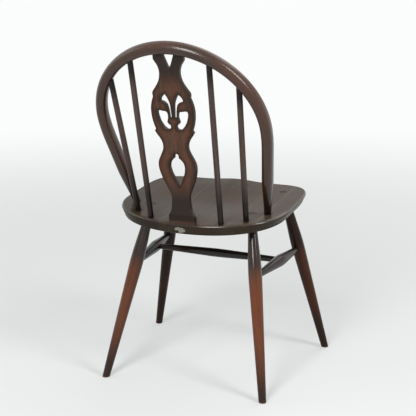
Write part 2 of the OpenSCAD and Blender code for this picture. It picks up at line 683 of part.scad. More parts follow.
module side_stretcher(side) {
    from = toward(side_end(side, false), side_end(side, true), end_gap);
    to = toward(side_end(side, true), side_end(side, false), end_gap);
    color(leg_brown) in_chair_frame() difference() {
        turned_rail(from, to, side_swell_at, side_swell_d, side_round_len);
        rod(cross_end(side), toward(cross_end(side), cross_end(-side), side_swell_d),
            stretcher_end_d / 2 + fit_gap);
    }
}
module side_stretcher_left() {
    side_stretcher(1);
}
module side_stretcher_right() {
    side_stretcher(-1);
}
module cross_stretcher() {
    from = toward(cross_end(-1), cross_end(1), end_gap);
    to = toward(cross_end(1), cross_end(-1), end_gap);
    color(leg_brown) in_chair_frame()
        turned_rail(from, to, norm(to - from) / 2, cross_swell_d, cross_round_len);
}

seat_board_left();
seat_board_middle();
seat_board_right();
bow();
splat();
spindle_left_outer();
spindle_left_inner();
spindle_right_inner();
spindle_right_outer();
leg_rear_left();
leg_rear_right();
leg_front_left();
leg_front_right();
side_stretcher_left();
side_stretcher_right();
cross_stretcher();
leg_wedge_rear_left();
leg_wedge_rear_right();
leg_wedge_front_left();
leg_wedge_front_right();
bow_wedge_left();
bow_wedge_right();
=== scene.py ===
import math

import bmesh
import bpy
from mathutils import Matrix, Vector, geometry, kdtree, noise


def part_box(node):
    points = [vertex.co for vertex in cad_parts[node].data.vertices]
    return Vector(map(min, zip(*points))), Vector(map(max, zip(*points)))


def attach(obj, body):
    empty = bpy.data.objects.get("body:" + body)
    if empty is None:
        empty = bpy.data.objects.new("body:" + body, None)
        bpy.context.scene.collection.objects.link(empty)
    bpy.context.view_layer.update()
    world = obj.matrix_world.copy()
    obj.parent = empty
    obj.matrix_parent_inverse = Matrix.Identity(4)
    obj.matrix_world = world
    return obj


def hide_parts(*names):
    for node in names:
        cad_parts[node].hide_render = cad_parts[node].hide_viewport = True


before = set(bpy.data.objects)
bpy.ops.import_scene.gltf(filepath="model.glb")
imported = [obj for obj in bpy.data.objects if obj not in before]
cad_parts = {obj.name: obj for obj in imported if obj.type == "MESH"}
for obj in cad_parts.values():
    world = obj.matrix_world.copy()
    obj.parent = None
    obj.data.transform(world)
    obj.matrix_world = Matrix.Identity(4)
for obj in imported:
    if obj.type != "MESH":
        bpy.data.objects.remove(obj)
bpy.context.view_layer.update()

MM = 0.001

# Seat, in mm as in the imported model: half its width, its depths behind and in front of its widest line,
# and how far in front of the rear feet that line lies
SEAT_HALF = 220.0
SEAT_BACK_D = 168.5
SEAT_FRONT_D = 220.0
SEAT_WIDE_AT = 170.0
SEAT_REAR_H = 425.0
SEAT_FRONT_H = 451.0
SEAT_T = 25.4
SIDE_RISE = 6.4
SIDE_LEAN = 8.0
RIDGE = 7.0
RIDGE_HALF_W = 60.0
RIDGE_START = 200.0
DISH = 7.0
DISH_MIDDLE_AT = 205.0
DISH_HALF_W = 190.0
DISH_HALF_D = 165.0
TOP_ROUND = 6.0
UNDER_ROUND = 5.0
UNDER_BEVEL = 30.0
GLUE_RIGHT = -168.0
GLUE_LEFT = 62.0
# How square the seat's plan is, behind and in front of its widest line
BACK_SQUARENESS = 2.33
FRONT_SQUARENESS = 5.2
# The fine groove along a glue line, and how far under the seat's reference plane its edge is looked for
GROOVE_W = 0.9
GROOVE_DEEP = 0.18
GROOVE_REACH = 10.0
# A bare patch where the finish has chipped from the rear edge. Each of its two lobes has its middle
# across and up from the patch's place, then half its size across and up.
CHIP_X = 3.5
CHIP_Z = 410.0
CHIP_DEEP = 0.7
CHIP_FRONT = -12.0
CHIP_LOBES = ((5.5, 1.8, 7.0, 4.4), (-3.5, -0.8, 8.8, 5.8))
# Steps of the seat's mesh: round its outline, across its top, and round its two edges
SEAT_STEPS = 288
TOP_STEPS = 40
TOP_EDGE_STEPS = 8
UNDER_EDGE_STEPS = 6

# Bow
BOW_X = 176.0
BOW_AT = 126.0
BOW_LEAN = math.radians(26.0)
BOW_SPLAY = math.radians(7.8)
BOW_ARM = 203.0
SHOULDER_R = 400.0
SHOULDER_ANGLE = math.radians(7.2)
BOW_DEEP = 32.0
BOW_THICK = 27.0
BOW_FOOT_D = 18.0
BOW_TAPER = 104.0
BOW_FOOT_ROUND = 8.0
BOW_SQUARENESS = 2.5
BOW_SIDES = 88
ARM_STEPS = 56
SHOULDER_STEPS = 14
CROWN_STEPS = 100

# Spindles: distance from the middle at the seat, in front of the rear feet, and from the middle at the bow
OUTER = (142.7, 63.9, 160.6)
INNER = (91.8, 28.4, 97.5)
SPINDLE_R = 7.0
SPINDLE_SOCKET = 17.0
SPINDLE_STEPS = 60

# Splat and the plinth at its foot
SPLAT_T = 12.0
SPLAT_FOOT_HALF = 33.5
SPLAT_FULL_HALF = 53.6
SPLAT_FOOT_AT = 5.0
SPLAT_SLOPE = 0.186
SPLAT_HOUSING = 6.0
SPLAT_DRAWN_H = 412.8
SPLAT_EDGE_ROUND = 0.6
PRONG_IN = 9.0
PRONG_END_GAP = 1.5
BEND_TOP = 163.0
BEND_BACK = 29.4
BEND_FIRST_BACK = 3.0
BEND_FOOT_PULL = 80.0
BEND_LEAN_PULL = 40.0
BEND_STEPS = 40
PLINTH_H = 18.0
PLINTH_T = 14.0
PLINTH_ROUND = 0.9

# Legs. A way is a leg's inward slope and its slope towards the seat's middle, for each unit of height.
REAR_X = 212.0
FRONT_X = 251.0
FEET_APART = 411.5
REAR_WAY = (0.178, 0.289)
FRONT_WAY = (0.218, 0.2055)
FOOT_D = 18.8
SWELL_D = 35.0
SWELL_AT = 320.0
SWELL_LEN = 60.0
NECK_D = 22.0
NECK_UNDER_SEAT = 7.5
WEDGE_T = 3.0
LEG_WEDGE_IN = 13.0
BOW_WEDGE_IN = 12.0

# Stretchers
STRETCHER_REAR_H = 287.0
STRETCHER_FRONT_H = 292.0
END_D = 15.0
RAIL_STRAIGHT = 19.0
END_GAP = 0.3
SIDE_SWELL_D = 31.0
SIDE_SWELL_AT = 148.0
SIDE_ROUND = 22.0
CROSS_SWELL_D = 23.4
CROSS_AT = 153.0
CROSS_ROUND = 60.0

# How many cells the noises of the wood have in a metre: twice across the grain, then along it
BROAD_STREAKS = (95, 95, 4.5)
FIBRES = (900, 900, 22)
PORES = (1500, 1500, 70)
BLOTCHES = (16, 16, 7)
# Ramps from a value to a tone or a share
RING_TONES = ((0.0, 0.62), (0.55, 0.5), (0.86, 0.34), (0.94, 0.3), (1.0, 0.6))
RED_SHARES = ((0.42, 0.0), (0.66, 0.85))
PORE_SHARES = ((0.60, 0.0), (0.68, 0.7))
RUB_SHARES = ((0.38, 0.0), (0.95, 0.9))

# Room: what lights the chair, and what is seen behind it
ROOM_LIGHT = (0.93, 0.97, 1.0)
ROOM_STRENGTH = 0.42
HORIZON_WHITE = (0.97, 0.98, 0.98)
UPPER_GREY = (0.76, 0.77, 0.77)
FLOOR_IN_VIEW = (0.70, 0.705, 0.69)
FLOOR_AS_LIGHT = (0.42, 0.42, 0.41)
FLOOR_R = 60.0
FLOOR_SIDES = 64

# Camera, as solved from the photo: its place in mm, its turn in degrees and its lens in pixels
CAMERA_AT = (-970.73, 2227.8, 1070.82)
CAMERA_DOWN = 14.0037
CAMERA_TURN = 22.0146
FOCAL_PIXELS = 1049.834
PICTURE_PIXELS = 416.0
SENSOR_W = 36.0

SEAT_BACK_Y = SEAT_BACK_D - SEAT_WIDE_AT
SEAT_FRONT_Y = -SEAT_FRONT_D - SEAT_WIDE_AT
SEAT_SLOPE = (SEAT_FRONT_H - SEAT_REAR_H) / (SEAT_BACK_Y - SEAT_FRONT_Y)
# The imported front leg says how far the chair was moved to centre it
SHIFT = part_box("leg_front_left")[0].y / MM + FEET_APART + FOOT_D / 2 * math.hypot(1, FRONT_WAY[1])


def place(p):
    """A point in mm, measured from the rear feet's line, in the model's metres."""
    return Vector((p[0], p[1] + SHIFT, p[2])) * MM


def smooth_step(value, start, end):
    """0 up to the start, 1 from the end on and smooth between them. The end may lie below the start."""
    x = min(1.0, max(0.0, (value - start) / (end - start)))
    return x * x * (3 - 2 * x)


def power(v, p):
    """A power that keeps the sign, for outlines between an ellipse and a rectangle."""
    return math.copysign(abs(v) ** p, v)


def bezier(points, t):
    points = [Vector(p) for p in points]
    while len(points) > 1:
        points = [a.lerp(b, t) for a, b in zip(points, points[1:])]
    return points[0]


# Materials
def linear(c):
    """A channel from 0 to 255, as a screen shows it, as the amount of light that Blender works in."""
    c /= 255
    return c / 12.92 if c <= 0.04045 else ((c + 0.055) / 1.055) ** 2.4


def srgb(r, g, b):
    return tuple(linear(c) for c in (r, g, b))


def darker(colour, share):
    return tuple(c * share for c in colour)


def give(tree, socket, value):
    """Gives a socket a number, a vector or a colour, or links it to another node's output."""
    if isinstance(value, bpy.types.NodeSocket):
        tree.links.new(value, socket)
    elif socket.type == "RGBA":
        socket.default_value = (*value, 1.0)
    else:
        socket.default_value = value


def add_node(tree, kind, inputs=None, **settings):
    """A node with its settings, and with its inputs by name or number."""
    node = tree.nodes.new(kind)
    for key, value in settings.items():
        setattr(node, key, value)
    for key, value in (inputs or {}).items():
        give(tree, node.inputs[key], value)
    return node


def new_material(name):
    mat = bpy.data.materials.new(name)
    mat.use_nodes = True
    mat.node_tree.nodes.clear()
    return mat, mat.node_tree


def calc(tree, operation, a, b, clamp=False):
    return add_node(tree, "ShaderNodeMath", {0: a, 1: b}, operation=operation, use_clamp=clamp).outputs[0]


def ramp(tree, source, stops):
    """A ramp on a value. A stop is (value, colour) or (value, share)."""
    node = add_node(tree, "ShaderNodeValToRGB", {0: source})
    while len(node.color_ramp.elements) < len(stops):
        node.color_ramp.elements.new(0.5)
    for element, (at, shown) in zip(node.color_ramp.elements, stops):
        element.position = at
        element.color = (*shown, 1.0) if isinstance(shown, tuple) else (shown, shown, shown, 1.0)
    return node.outputs[0]


def smooth_range(tree, value, start, end, low, high):
    """A value's smooth rise from a low share at the start to a high share at the end."""
    inputs = {"Value": value, "From Min": start, "From Max": end, "To Min": low, "To Max": high}
    return add_node(tree, "ShaderNodeMapRange", inputs, interpolation_type="SMOOTHSTEP").outputs["Result"]


def colour_socket(sockets, name):
    """A Mix node has a socket of the same name for each kind of data. This is the one for colours."""
    return [socket for socket in sockets if socket.name == name and socket.type == "RGBA"][0]


def mix_colours(tree, share, first, second):
    node = add_node(tree, "ShaderNodeMix", {"Factor": share}, data_type="RGBA")
    give(tree, colour_socket(node.inputs, "A"), first)
    give(tree, colour_socket(node.inputs, "B"), second)
    return colour_socket(node.outputs, "Result")


def mix_shaders(tree, share, first, second):
    inputs = {0: share, 1: first.outputs[0], 2: second.outputs[0]}
    return add_node(tree, "ShaderNodeMixShader", inputs)


def growth_rings(tree, grain, location, tilt, scale, distortion, detail_scale):
    """Growth rings about an axis under the board, each one darkening towards its end."""
    where = add_node(tree, "ShaderNodeMapping", {"Vector": grain, "Location": location, "Rotation": tilt})
    wave = add_node(tree, "ShaderNodeTexWave", {
        "Vector": where.outputs[0], "Scale": scale, "Distortion": distortion, "Detail": 3.0,
        "Detail Scale": detail_scale, "Detail Roughness": 0.55},
        wave_type="RINGS", rings_direction="Z", wave_profile="SAW")
    return ramp(tree, wave.outputs["Fac"], RING_TONES)


def wood(name, tones, worn, gloss, coat, shine, coat_rough, seed, rings=None, ring_share=0.0):
    """Stained wood with pores, blotches, wear, and dirt and painted shade. Its grain runs along z of the
    "grain" attribute.

    The tones are its dark, middle, light and reddish colours. Where it is rubbed bare, it has the worn one.
    """
    dark, middle, light, red = (srgb(*tone) for tone in tones)
    mat, tree = new_material(name)

    def attribute(key, output="Fac"):
        return add_node(tree, "ShaderNodeAttribute", attribute_name=key).outputs[output]

    def add(a, b, clamp=False):
        return calc(tree, "ADD", a, b, clamp)

    def times(a, b, clamp=False):
        return calc(tree, "MULTIPLY", a, b, clamp)

    grain = attribute("grain", "Vector")

    def grain_noise(scale, detail, roughness, distortion=0.0):
        where = add_node(tree, "ShaderNodeMapping", {
            "Vector": grain, "Location": (seed, seed * 1.7, seed * 0.6), "Scale": scale})
        return add_node(tree, "ShaderNodeTexNoise", {
            "Vector": where.outputs[0], "Scale": 1.0, "Detail": detail, "Roughness": roughness,
            "Distortion": distortion}).outputs["Fac"]

    broad = grain_noise(BROAD_STREAKS, 4, 0.6, 0.6)
    fibre = grain_noise(FIBRES, 4, 0.65)
    pores = ramp(tree, grain_noise(PORES, 2, 0.5), PORE_SHARES)
    blotch = grain_noise(BLOTCHES, 3, 0.55, 0.3)

    tone = add(times(broad, 0.62), times(fibre, 0.38))
    if rings:
        tone = add(times(tone, 1 - ring_share), times(growth_rings(tree, grain, *rings), ring_share))
    base = ramp(tree, tone, ((0.30, dark), (0.48, middle), (0.68, light)))
    colour = mix_colours(tree, ramp(tree, blotch, RED_SHARES), base, red)
    colour = mix_colours(tree, pores, colour, darker(dark, 0.45))
    # Dirt and painted shade, in blotches, darken the wood towards a deeper tone of its dark colour
    dirt_and_shade = times(attribute("dirt_and_shade"), add(blotch, 0.4), clamp=True)
    colour = mix_colours(tree, dirt_and_shade, colour, darker(dark, 0.55))
    rubbed = ramp(tree, times(attribute("wear"), add(fibre, broad), clamp=True), RUB_SHARES)
    colour = mix_colours(tree, rubbed, colour, worn)

    # Blotches, fibres and rubbed places are a little duller than the rest
    rough = add(times(blotch, 0.16), gloss - 0.08)
    rough = add(rough, times(fibre, 0.08))
    rough = add(rough, times(rubbed, 0.22), clamp=True)
    height = calc(tree, "SUBTRACT", times(fibre, 0.5), times(pores, 0.6))
    bump = add_node(tree, "ShaderNodeBump", {"Strength": 0.2, "Distance": 0.0002, "Height": height})
    surface = add_node(tree, "ShaderNodeBsdfPrincipled", {
        "Base Color": colour, "Roughness": rough, "Normal": bump.outputs[0], "IOR": 1.5,
        "Specular IOR Level": shine, "Coat Weight": add(attribute("polish"), coat, clamp=True),
        "Coat Roughness": coat_rough, "Coat IOR": 1.5})
    add_node(tree, "ShaderNodeOutputMaterial", {"Surface": surface.outputs[0]})
    return mat


CHIPPED = srgb(130, 131, 117)
RUBBED = srgb(124, 86, 66)
# Gloss, coat, shine and coat roughness of the seat
SEAT_LOOK = (0.36, 0.25, 0.04, 0.15)
# Each board's tones and seed, its growth rings, and their share in its tone
SEAT_WOODS = {
    "seat_left": (((40, 32, 24), (57, 47, 36), (76, 64, 50), (66, 48, 34)), 3.1,
                  ((-0.15, 0.055, 0.0), (0.13, 0.02, 0), 46.0, 3.0, 1.0), 0.24),
    "seat_middle": (((42, 34, 25), (63, 51, 39), (84, 70, 55), (73, 52, 37)), 7.7,
                    ((0.055, 0.05, 0.0), (0.22, -0.05, 0), 50.0, 3.4, 0.9), 0.36),
    "seat_right": (((46, 38, 30), (67, 57, 46), (90, 77, 63), (76, 58, 43)), 12.4,
                   ((0.23, 0.06, 0.0), (0.10, 0.05, 0), 44.0, 3.0, 1.1), 0.22),
}
# The other woods' tones, and their gloss, coat, shine, coat roughness and seed
OTHER_WOODS = {
    "bow": (((36, 24, 17), (57, 38, 28), (78, 54, 41), (73, 42, 28)), 0.32, 0.85, 0.05, 0.23, 1.3),
    "splat": (((52, 39, 31), (81, 58, 47), (101, 73, 59), (101, 64, 47)), 0.36, 0.12, 0.08, 0.15, 21.9),
    "spindle": (((40, 33, 31), (73, 60, 56), (95, 81, 75), (81, 61, 54)), 0.32, 0.3, 0.06, 0.15, 31.2),
    "leg": (((54, 29, 17), (91, 51, 27), (118, 69, 38), (117, 57, 26)), 0.30, 0.55, 0.06, 0.14, 41.5),
    "rail": (((26, 21, 18), (40, 32, 28), (58, 48, 42), (52, 36, 30)), 0.30, 0.55, 0.05, 0.15, 46.1),
    "wedge": (((36, 27, 24), (54, 40, 34), (74, 56, 46), (60, 42, 34)), 0.38, 0.1, 0.08, 0.15, 51.8),
}
WOODS = {}
for key, (tones, *rest) in SEAT_WOODS.items():
    WOODS[key] = wood(key, tones, CHIPPED, *SEAT_LOOK, *rest)
for key, (tones, *rest) in OTHER_WOODS.items():
    WOODS[key] = wood(key + "_wood", tones, RUBBED, *rest)


# Meshes
def add_object(name, data):
    obj = bpy.data.objects.new(name, data)
    bpy.context.scene.collection.objects.link(obj)
    return obj


def make(name, points, faces, grain, material, node, wear=None, dirt_and_shade=None, polish=None, sharp=35.0):
    """A piece from points in metres, with its grain coordinates and its shares of wear, dirt and painted
    shade, and polish.
    """
    mesh = bpy.data.meshes.new(name)
    mesh.from_pydata([tuple(p) for p in points], [], faces)
    mesh.update()
    coordinates = mesh.attributes.new("grain", "FLOAT_VECTOR", "POINT")
    coordinates.data.foreach_set("vector", [c for p in grain for c in p])
    for key, values in (("wear", wear), ("dirt_and_shade", dirt_and_shade), ("polish", polish)):
        share = mesh.attributes.new(key, "FLOAT", "POINT")
        share.data.foreach_set("value", values or [0.0] * len(points))
    mesh.polygons.foreach_set("use_smooth", [True] * len(mesh.polygons))
    mesh.set_sharp_from_angle(angle=math.radians(sharp))
    mesh.materials.append(WOODS[material])
    obj = add_object(name, mesh)
    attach(obj, "root")
    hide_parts(node)
    return obj


def skin(rings, count, capped=True):
    """Quads between rings of one length that turn left about their way, with or without flat end caps."""
    faces = []
    for k in range(rings - 1):
        here, there = k * count, (k + 1) * count
        faces += [(here + i, here + (i + 1) % count, there + (i + 1) % count, there + i)
                  for i in range(count)]
    if capped:
        faces.append(tuple(reversed(range(count))))
        faces.append(tuple((rings - 1) * count + i for i in range(count)))
    return faces


def turned_over(faces):
    return [tuple(reversed(f)) for f in faces]


# Seat
def seat_plane(y):
    return SEAT_REAR_H + SEAT_SLOPE * (SEAT_BACK_Y - y)


def seat_top(x, y):
    front = min(1.0, max(0.0, (-y - RIDGE_START) / (-SEAT_FRONT_Y - RIDGE_START)))
    ridge = RIDGE * front * math.exp(-(x / RIDGE_HALF_W) ** 2)
    q = (x / DISH_HALF_W) ** 2 + ((y + DISH_MIDDLE_AT) / DISH_HALF_D) ** 2
    dish = (1 - q) ** 2 if q < 1 else 0.0
    return seat_plane(y) + SIDE_RISE * (x / SEAT_HALF) ** 2 + ridge - DISH * dish


def outline(a):
    n, d = (BACK_SQUARENESS, SEAT_BACK_D) if math.sin(a) >= 0 else (FRONT_SQUARENESS, SEAT_FRONT_D)
    return Vector((SEAT_HALF * power(math.cos(a), 2 / n), d * power(math.sin(a), 2 / n) - SEAT_WIDE_AT))


def inset(a, by):
    """The outline drawn in by a distance towards the middle of the widest line."""
    v = outline(a) + Vector((0, SEAT_WIDE_AT))
    return v * (1 - by / v.length) - Vector((0, SEAT_WIDE_AT))


def shared(p, share):
    """A point of the plan at a share of its way out from the middle of the widest line."""
    return Vector((p.x * share, (p.y + SEAT_WIDE_AT) * share - SEAT_WIDE_AT))


def edge_lean(a):
    """How far the edge leans in over its height: full at the sides and upright at the rear."""
    return SIDE_LEAN * (outline(a).x / SEAT_HALF) ** 2


def chip_depth(x, y, z):
    """1 inside the chip and 0 outside it, with a ragged rim."""
    q = min(((x - CHIP_X - lobe_x) / half_w) ** 2 + ((z - CHIP_Z - lobe_z) / half_h) ** 2
            for lobe_x, lobe_z, half_w, half_h in CHIP_LOBES)
    if y < CHIP_FRONT or q > 2:
        return 0.0
    q += 0.8 * noise.noise(Vector((x * 0.3, z * 0.4, 3.0)))
    return smooth_step(q, 1.0, 0.65)


def even_angles(count, fine=7200):
    """Angles spaced by the outline's arc length, so that the corners stay even."""
    dense = [outline(2 * math.pi * i / fine) for i in range(fine + 1)]
    run = [0.0]
    for a, b in zip(dense, dense[1:]):
        run.append(run[-1] + (b - a).length)
    angles = []
    k = 0
    for i in range(count):
        want = run[-1] * i / count
        while run[k + 1] < want:
            k += 1
        angles.append(2 * math.pi * (k + (want - run[k]) / (run[k + 1] - run[k])) / fine)
    return angles


def top_point(a, share):
    q = shared(inset(a, TOP_ROUND), share)
    return q.x, q.y, seat_top(q.x, q.y)


def top_edge_point(a, turn):
    o, p = outline(a), inset(a, TOP_ROUND * (1 - math.sin(turn)))
    return p.x, p.y, seat_top(o.x, o.y) - TOP_ROUND * (1 - math.cos(turn))


def side_point(a, share):
    o, p = outline(a), inset(a, edge_lean(a) * share)
    high = seat_top(o.x, o.y) - TOP_ROUND
    low = seat_top(o.x, o.y) - SEAT_T + UNDER_ROUND
    return p.x, p.y, high + (low - high) * share


def under_edge_point(a, turn):
    o, p = outline(a), inset(a, edge_lean(a) + UNDER_ROUND * (1 - math.cos(turn)))
    return p.x, p.y, seat_top(o.x, o.y) - SEAT_T + UNDER_ROUND * (1 - math.sin(turn))


def under_point(a, share):
    q = shared(inset(a, UNDER_BEVEL), share)
    return q.x, q.y, seat_plane(q.y) - SEAT_T


def seat_mesh():
    """The whole seat: rings over the top, round both edges and in again underneath, closed by two fans."""
    stages = (
        (top_point, [k / TOP_STEPS for k in range(1, TOP_STEPS + 1)]),
        (top_edge_point, [math.pi / 2 * k / TOP_EDGE_STEPS for k in range(1, TOP_EDGE_STEPS + 1)]),
        (side_point, [0.2, 0.4, 0.6, 0.8]),
        (under_edge_point, [math.pi / 2 * k / UNDER_EDGE_STEPS for k in range(UNDER_EDGE_STEPS + 1)]),
        (under_point, [1.0, 0.75, 0.5, 0.25]))
    angles = even_angles(SEAT_STEPS)
    rings = [[point(a, amount) for a in angles] for point, amounts in stages for amount in amounts]
    count = SEAT_STEPS
    points = [p for ring in rings for p in ring]
    faces = turned_over(skin(len(rings), count, capped=False))
    top, under = len(points), len(points) + 1
    points.append((0, -SEAT_WIDE_AT, seat_top(0, -SEAT_WIDE_AT)))
    points.append((0, -SEAT_WIDE_AT, seat_plane(-SEAT_WIDE_AT) - SEAT_T))
    last = (len(rings) - 1) * count
    faces += [(top, i, (i + 1) % count) for i in range(count)]
    faces += [(under, last + (i + 1) % count, last + i) for i in range(count)]
    return points, faces


def cut_board(points, faces, low, high):
    """The seat between two glue lines, with a fine groove along each of them."""
    bm = bmesh.new()
    made = [bm.verts.new(p) for p in points]
    for f in faces:
        bm.faces.new([made[i] for i in f])
    for at, keep in ((low, 1), (high, -1)):
        if at is None:
            continue
        for x, way, clear in ((at + keep * GROOVE_W, 1, False), (at, -keep, True)):
            everything = bm.verts[:] + bm.edges[:] + bm.faces[:]
            bmesh.ops.bisect_plane(bm, geom=everything, dist=1e-5, plane_co=(x, 0, 0), plane_no=(way, 0, 0),
                                   clear_outer=clear)
        rim = [e for e in bm.edges if e.is_boundary]
        for v in {v for e in rim for v in e.verts}:
            if v.co.z > seat_plane(v.co.y) - GROOVE_REACH:
                v.co.z -= GROOVE_DEEP
        bmesh.ops.holes_fill(bm, edges=rim, sides=0)
    bmesh.ops.recalc_face_normals(bm, faces=bm.faces)
    bm.verts.index_update()
    return bm


def seat_shares(x, y, n, dent):
    """The seat's wear, painted shade and polish at a point, by its place and by the way that its surface
    faces.
    """
    edge = smooth_step(n.z, 0.93, 0.68) * smooth_step(n.z, 0.12, 0.42)
    front = smooth_step(-y, 60, 260)
    right = smooth_step(-x, 150, 200)
    wear = max(dent * 2.2, edge * (0.12 + 0.2 * front + 0.35 * right))
    # Painted shade darkens the top round the feet of the bow and spindles, about 8 mm in radius, and round
    # the plinth
    feet = ((BOW_X, BOW_AT), OUTER[:2], INNER[:2])
    from_foot = min(math.hypot(x - side * foot_x, y + foot_at)
                    for side in (-1, 1) for foot_x, foot_at in feet) - 8
    from_plinth = max(abs(x) - SPLAT_FOOT_HALF, abs(y + SPLAT_FOOT_AT + PLINTH_T / 2) - PLINTH_T / 2, 0)
    shade_round_feet = 0.9 * (1 - smooth_step(min(from_foot, from_plinth), 0, 12)) if n.z > 0.3 else 0
    # Painted shade also darkens the surfaces that face sideways and down: the edges and the underside
    dirt_and_shade = max(shade_round_feet, 0.75 * smooth_step(n.z, 0.9, 0.3))
    polish = 0.6 * smooth_step(n.z, 0.99, 0.89) * smooth_step(n.z, 0.15, 0.45)
    return wear, dirt_and_shade, polish


def seat_boards():
    points, faces = seat_mesh()
    for side, low, high in (("left", GLUE_LEFT, None), ("middle", GLUE_RIGHT, GLUE_LEFT),
                            ("right", None, GLUE_RIGHT)):
        bm = cut_board(points, faces, low, high)
        where, grain, shares = [], [], []
        for v in bm.verts:
            x, y, z = v.co
            dent = chip_depth(x, y, z)
            where.append(place((x, y - CHIP_DEEP * dent, z)))
            grain.append((x * MM, (z - seat_plane(y)) * MM, y * MM))
            shares.append(seat_shares(x, y, v.normal, dent))
        wear, dirt_and_shade, polish = (list(values) for values in zip(*shares))
        corners = [[v.index for v in f.verts] for f in bm.faces]
        node = "seat_board_" + side
        make(node + "_wood", where, corners, grain, "seat_" + side, node, wear, dirt_and_shade, polish,
             sharp=50)
        bm.free()


seat_boards()

# Bow, in its own plane with u across and v up the lean
BOW_UP = Vector((0, math.sin(BOW_LEAN), math.cos(BOW_LEAN)))
BOW_FRONT = Vector((0, -math.cos(BOW_LEAN), math.sin(BOW_LEAN)))
BOW_FOOT_Z = seat_top(BOW_X, -BOW_AT)
# Length of the bow's foot between the seat's top and its underside
BOW_UNDER = (BOW_FOOT_Z - seat_plane(-BOW_AT) + SEAT_T) / (
    math.cos(BOW_SPLAY) * (math.cos(BOW_LEAN) + SEAT_SLOPE * math.sin(BOW_LEAN)))
ARM_END = Vector((BOW_X + BOW_ARM * math.sin(BOW_SPLAY), BOW_ARM * math.cos(BOW_SPLAY)))
SHOULDER_MIDDLE = ARM_END - SHOULDER_R * Vector((math.cos(BOW_SPLAY), -math.sin(BOW_SPLAY)))
CROWN_START = SHOULDER_ANGLE - BOW_SPLAY
SHOULDER_END = SHOULDER_MIDDLE + SHOULDER_R * Vector((math.cos(CROWN_START), math.sin(CROWN_START)))
CROWN_R = SHOULDER_END.x / math.cos(CROWN_START)
CROWN_MIDDLE_V = SHOULDER_END.y - CROWN_R * math.sin(CROWN_START)


def bow_place(u, v):
    return Vector((u, -BOW_AT, BOW_FOOT_Z)) + v * BOW_UP


def bow_over(x):
    """The crown's centre line at a distance from the chair's middle."""
    return bow_place(x, CROWN_MIDDLE_V + math.sqrt(CROWN_R ** 2 - x ** 2))


def bow_half():
    """The bow's left half from foot to crown: (u, v, angle of its outer side, length from the seat's top)."""
    marks = [-BOW_UNDER, -BOW_UNDER / 2, 0, BOW_FOOT_ROUND / 2, BOW_FOOT_ROUND]
    marks += [BOW_FOOT_ROUND + (BOW_ARM - BOW_FOOT_ROUND) * k / ARM_STEPS for k in range(1, ARM_STEPS + 1)]
    half = [(BOW_X + s * math.sin(BOW_SPLAY), s * math.cos(BOW_SPLAY), -BOW_SPLAY, s) for s in marks]
    for k in range(1, SHOULDER_STEPS + 1):
        a = -BOW_SPLAY + SHOULDER_ANGLE * k / SHOULDER_STEPS
        u = SHOULDER_MIDDLE.x + SHOULDER_R * math.cos(a)
        v = SHOULDER_MIDDLE.y + SHOULDER_R * math.sin(a)
        half.append((u, v, a, BOW_ARM + SHOULDER_R * (a + BOW_SPLAY)))
    so_far = half[-1][3]
    for k in range(1, CROWN_STEPS + 1):
        a = CROWN_START + (math.pi / 2 - CROWN_START) * k / CROWN_STEPS
        half.append((CROWN_R * math.cos(a), CROWN_MIDDLE_V + CROWN_R * math.sin(a),
                     a, so_far + CROWN_R * (a - CROWN_START)))
    return half


def bow_piece():
    half = bow_half()
    total = half[-1][3]
    stations = half + [(-u, v, math.pi - a, 2 * total - s) for u, v, a, s in reversed(half[:-1])]
    points, grain, wear, dirt_and_shade = [], [], [], []
    for u, v, a, s in stations:
        from_foot = min(s, 2 * total - s)
        full = min(1.0, max(0.0, (from_foot - BOW_FOOT_ROUND) / (BOW_TAPER - BOW_FOOT_ROUND)))
        full = 0.7 * full + 0.3 * smooth_step(full, 0, 1)
        shaved = 0.12 * noise.noise(Vector((s * 0.012, 2.0, 5.0)))
        thick = BOW_FOOT_D + (BOW_THICK - BOW_FOOT_D) * full + 2 * shaved
        deep = BOW_FOOT_D + (BOW_DEEP - BOW_FOOT_D) * full + 2 * shaved
        p = 2 / (2 + (BOW_SQUARENESS - 2) * full)
        out = Vector((math.cos(a), 0, 0)) + math.sin(a) * BOW_UP
        crown = smooth_step(from_foot, 420, 540)
        for i in range(BOW_SIDES):
            b = 2 * math.pi * i / BOW_SIDES
            x, y = thick / 2 * power(math.cos(b), p), deep / 2 * power(math.sin(b), p)
            points.append(place(bow_place(u, v) + x * out + y * BOW_FRONT))
            grain.append((x * MM, y * MM, s * MM))
            corner = max(0.0, abs(math.sin(2 * b)) - 0.5) * 2
            wear.append(0.30 * corner + 0.12 * crown * max(0.0, math.cos(b)))
            # Painted shade darkens the bow towards its feet, where it meets the seat
            dirt_and_shade.append(1.1 * (1 - smooth_step(from_foot, 15, 145)))
    # The rings turn right about the bow's way, so the faces are turned over
    faces = turned_over(skin(len(stations), BOW_SIDES))
    make("bow_wood", points, faces, grain, "bow", "bow", wear, dirt_and_shade, sharp=60)


bow_piece()


# Turned pieces
def across(way):
    """Two directions square to a way, the first of them level and nearest to +X."""
    side = Vector((way.z, 0, -way.x)).normalized()
    return side, way.cross(side).normalized()


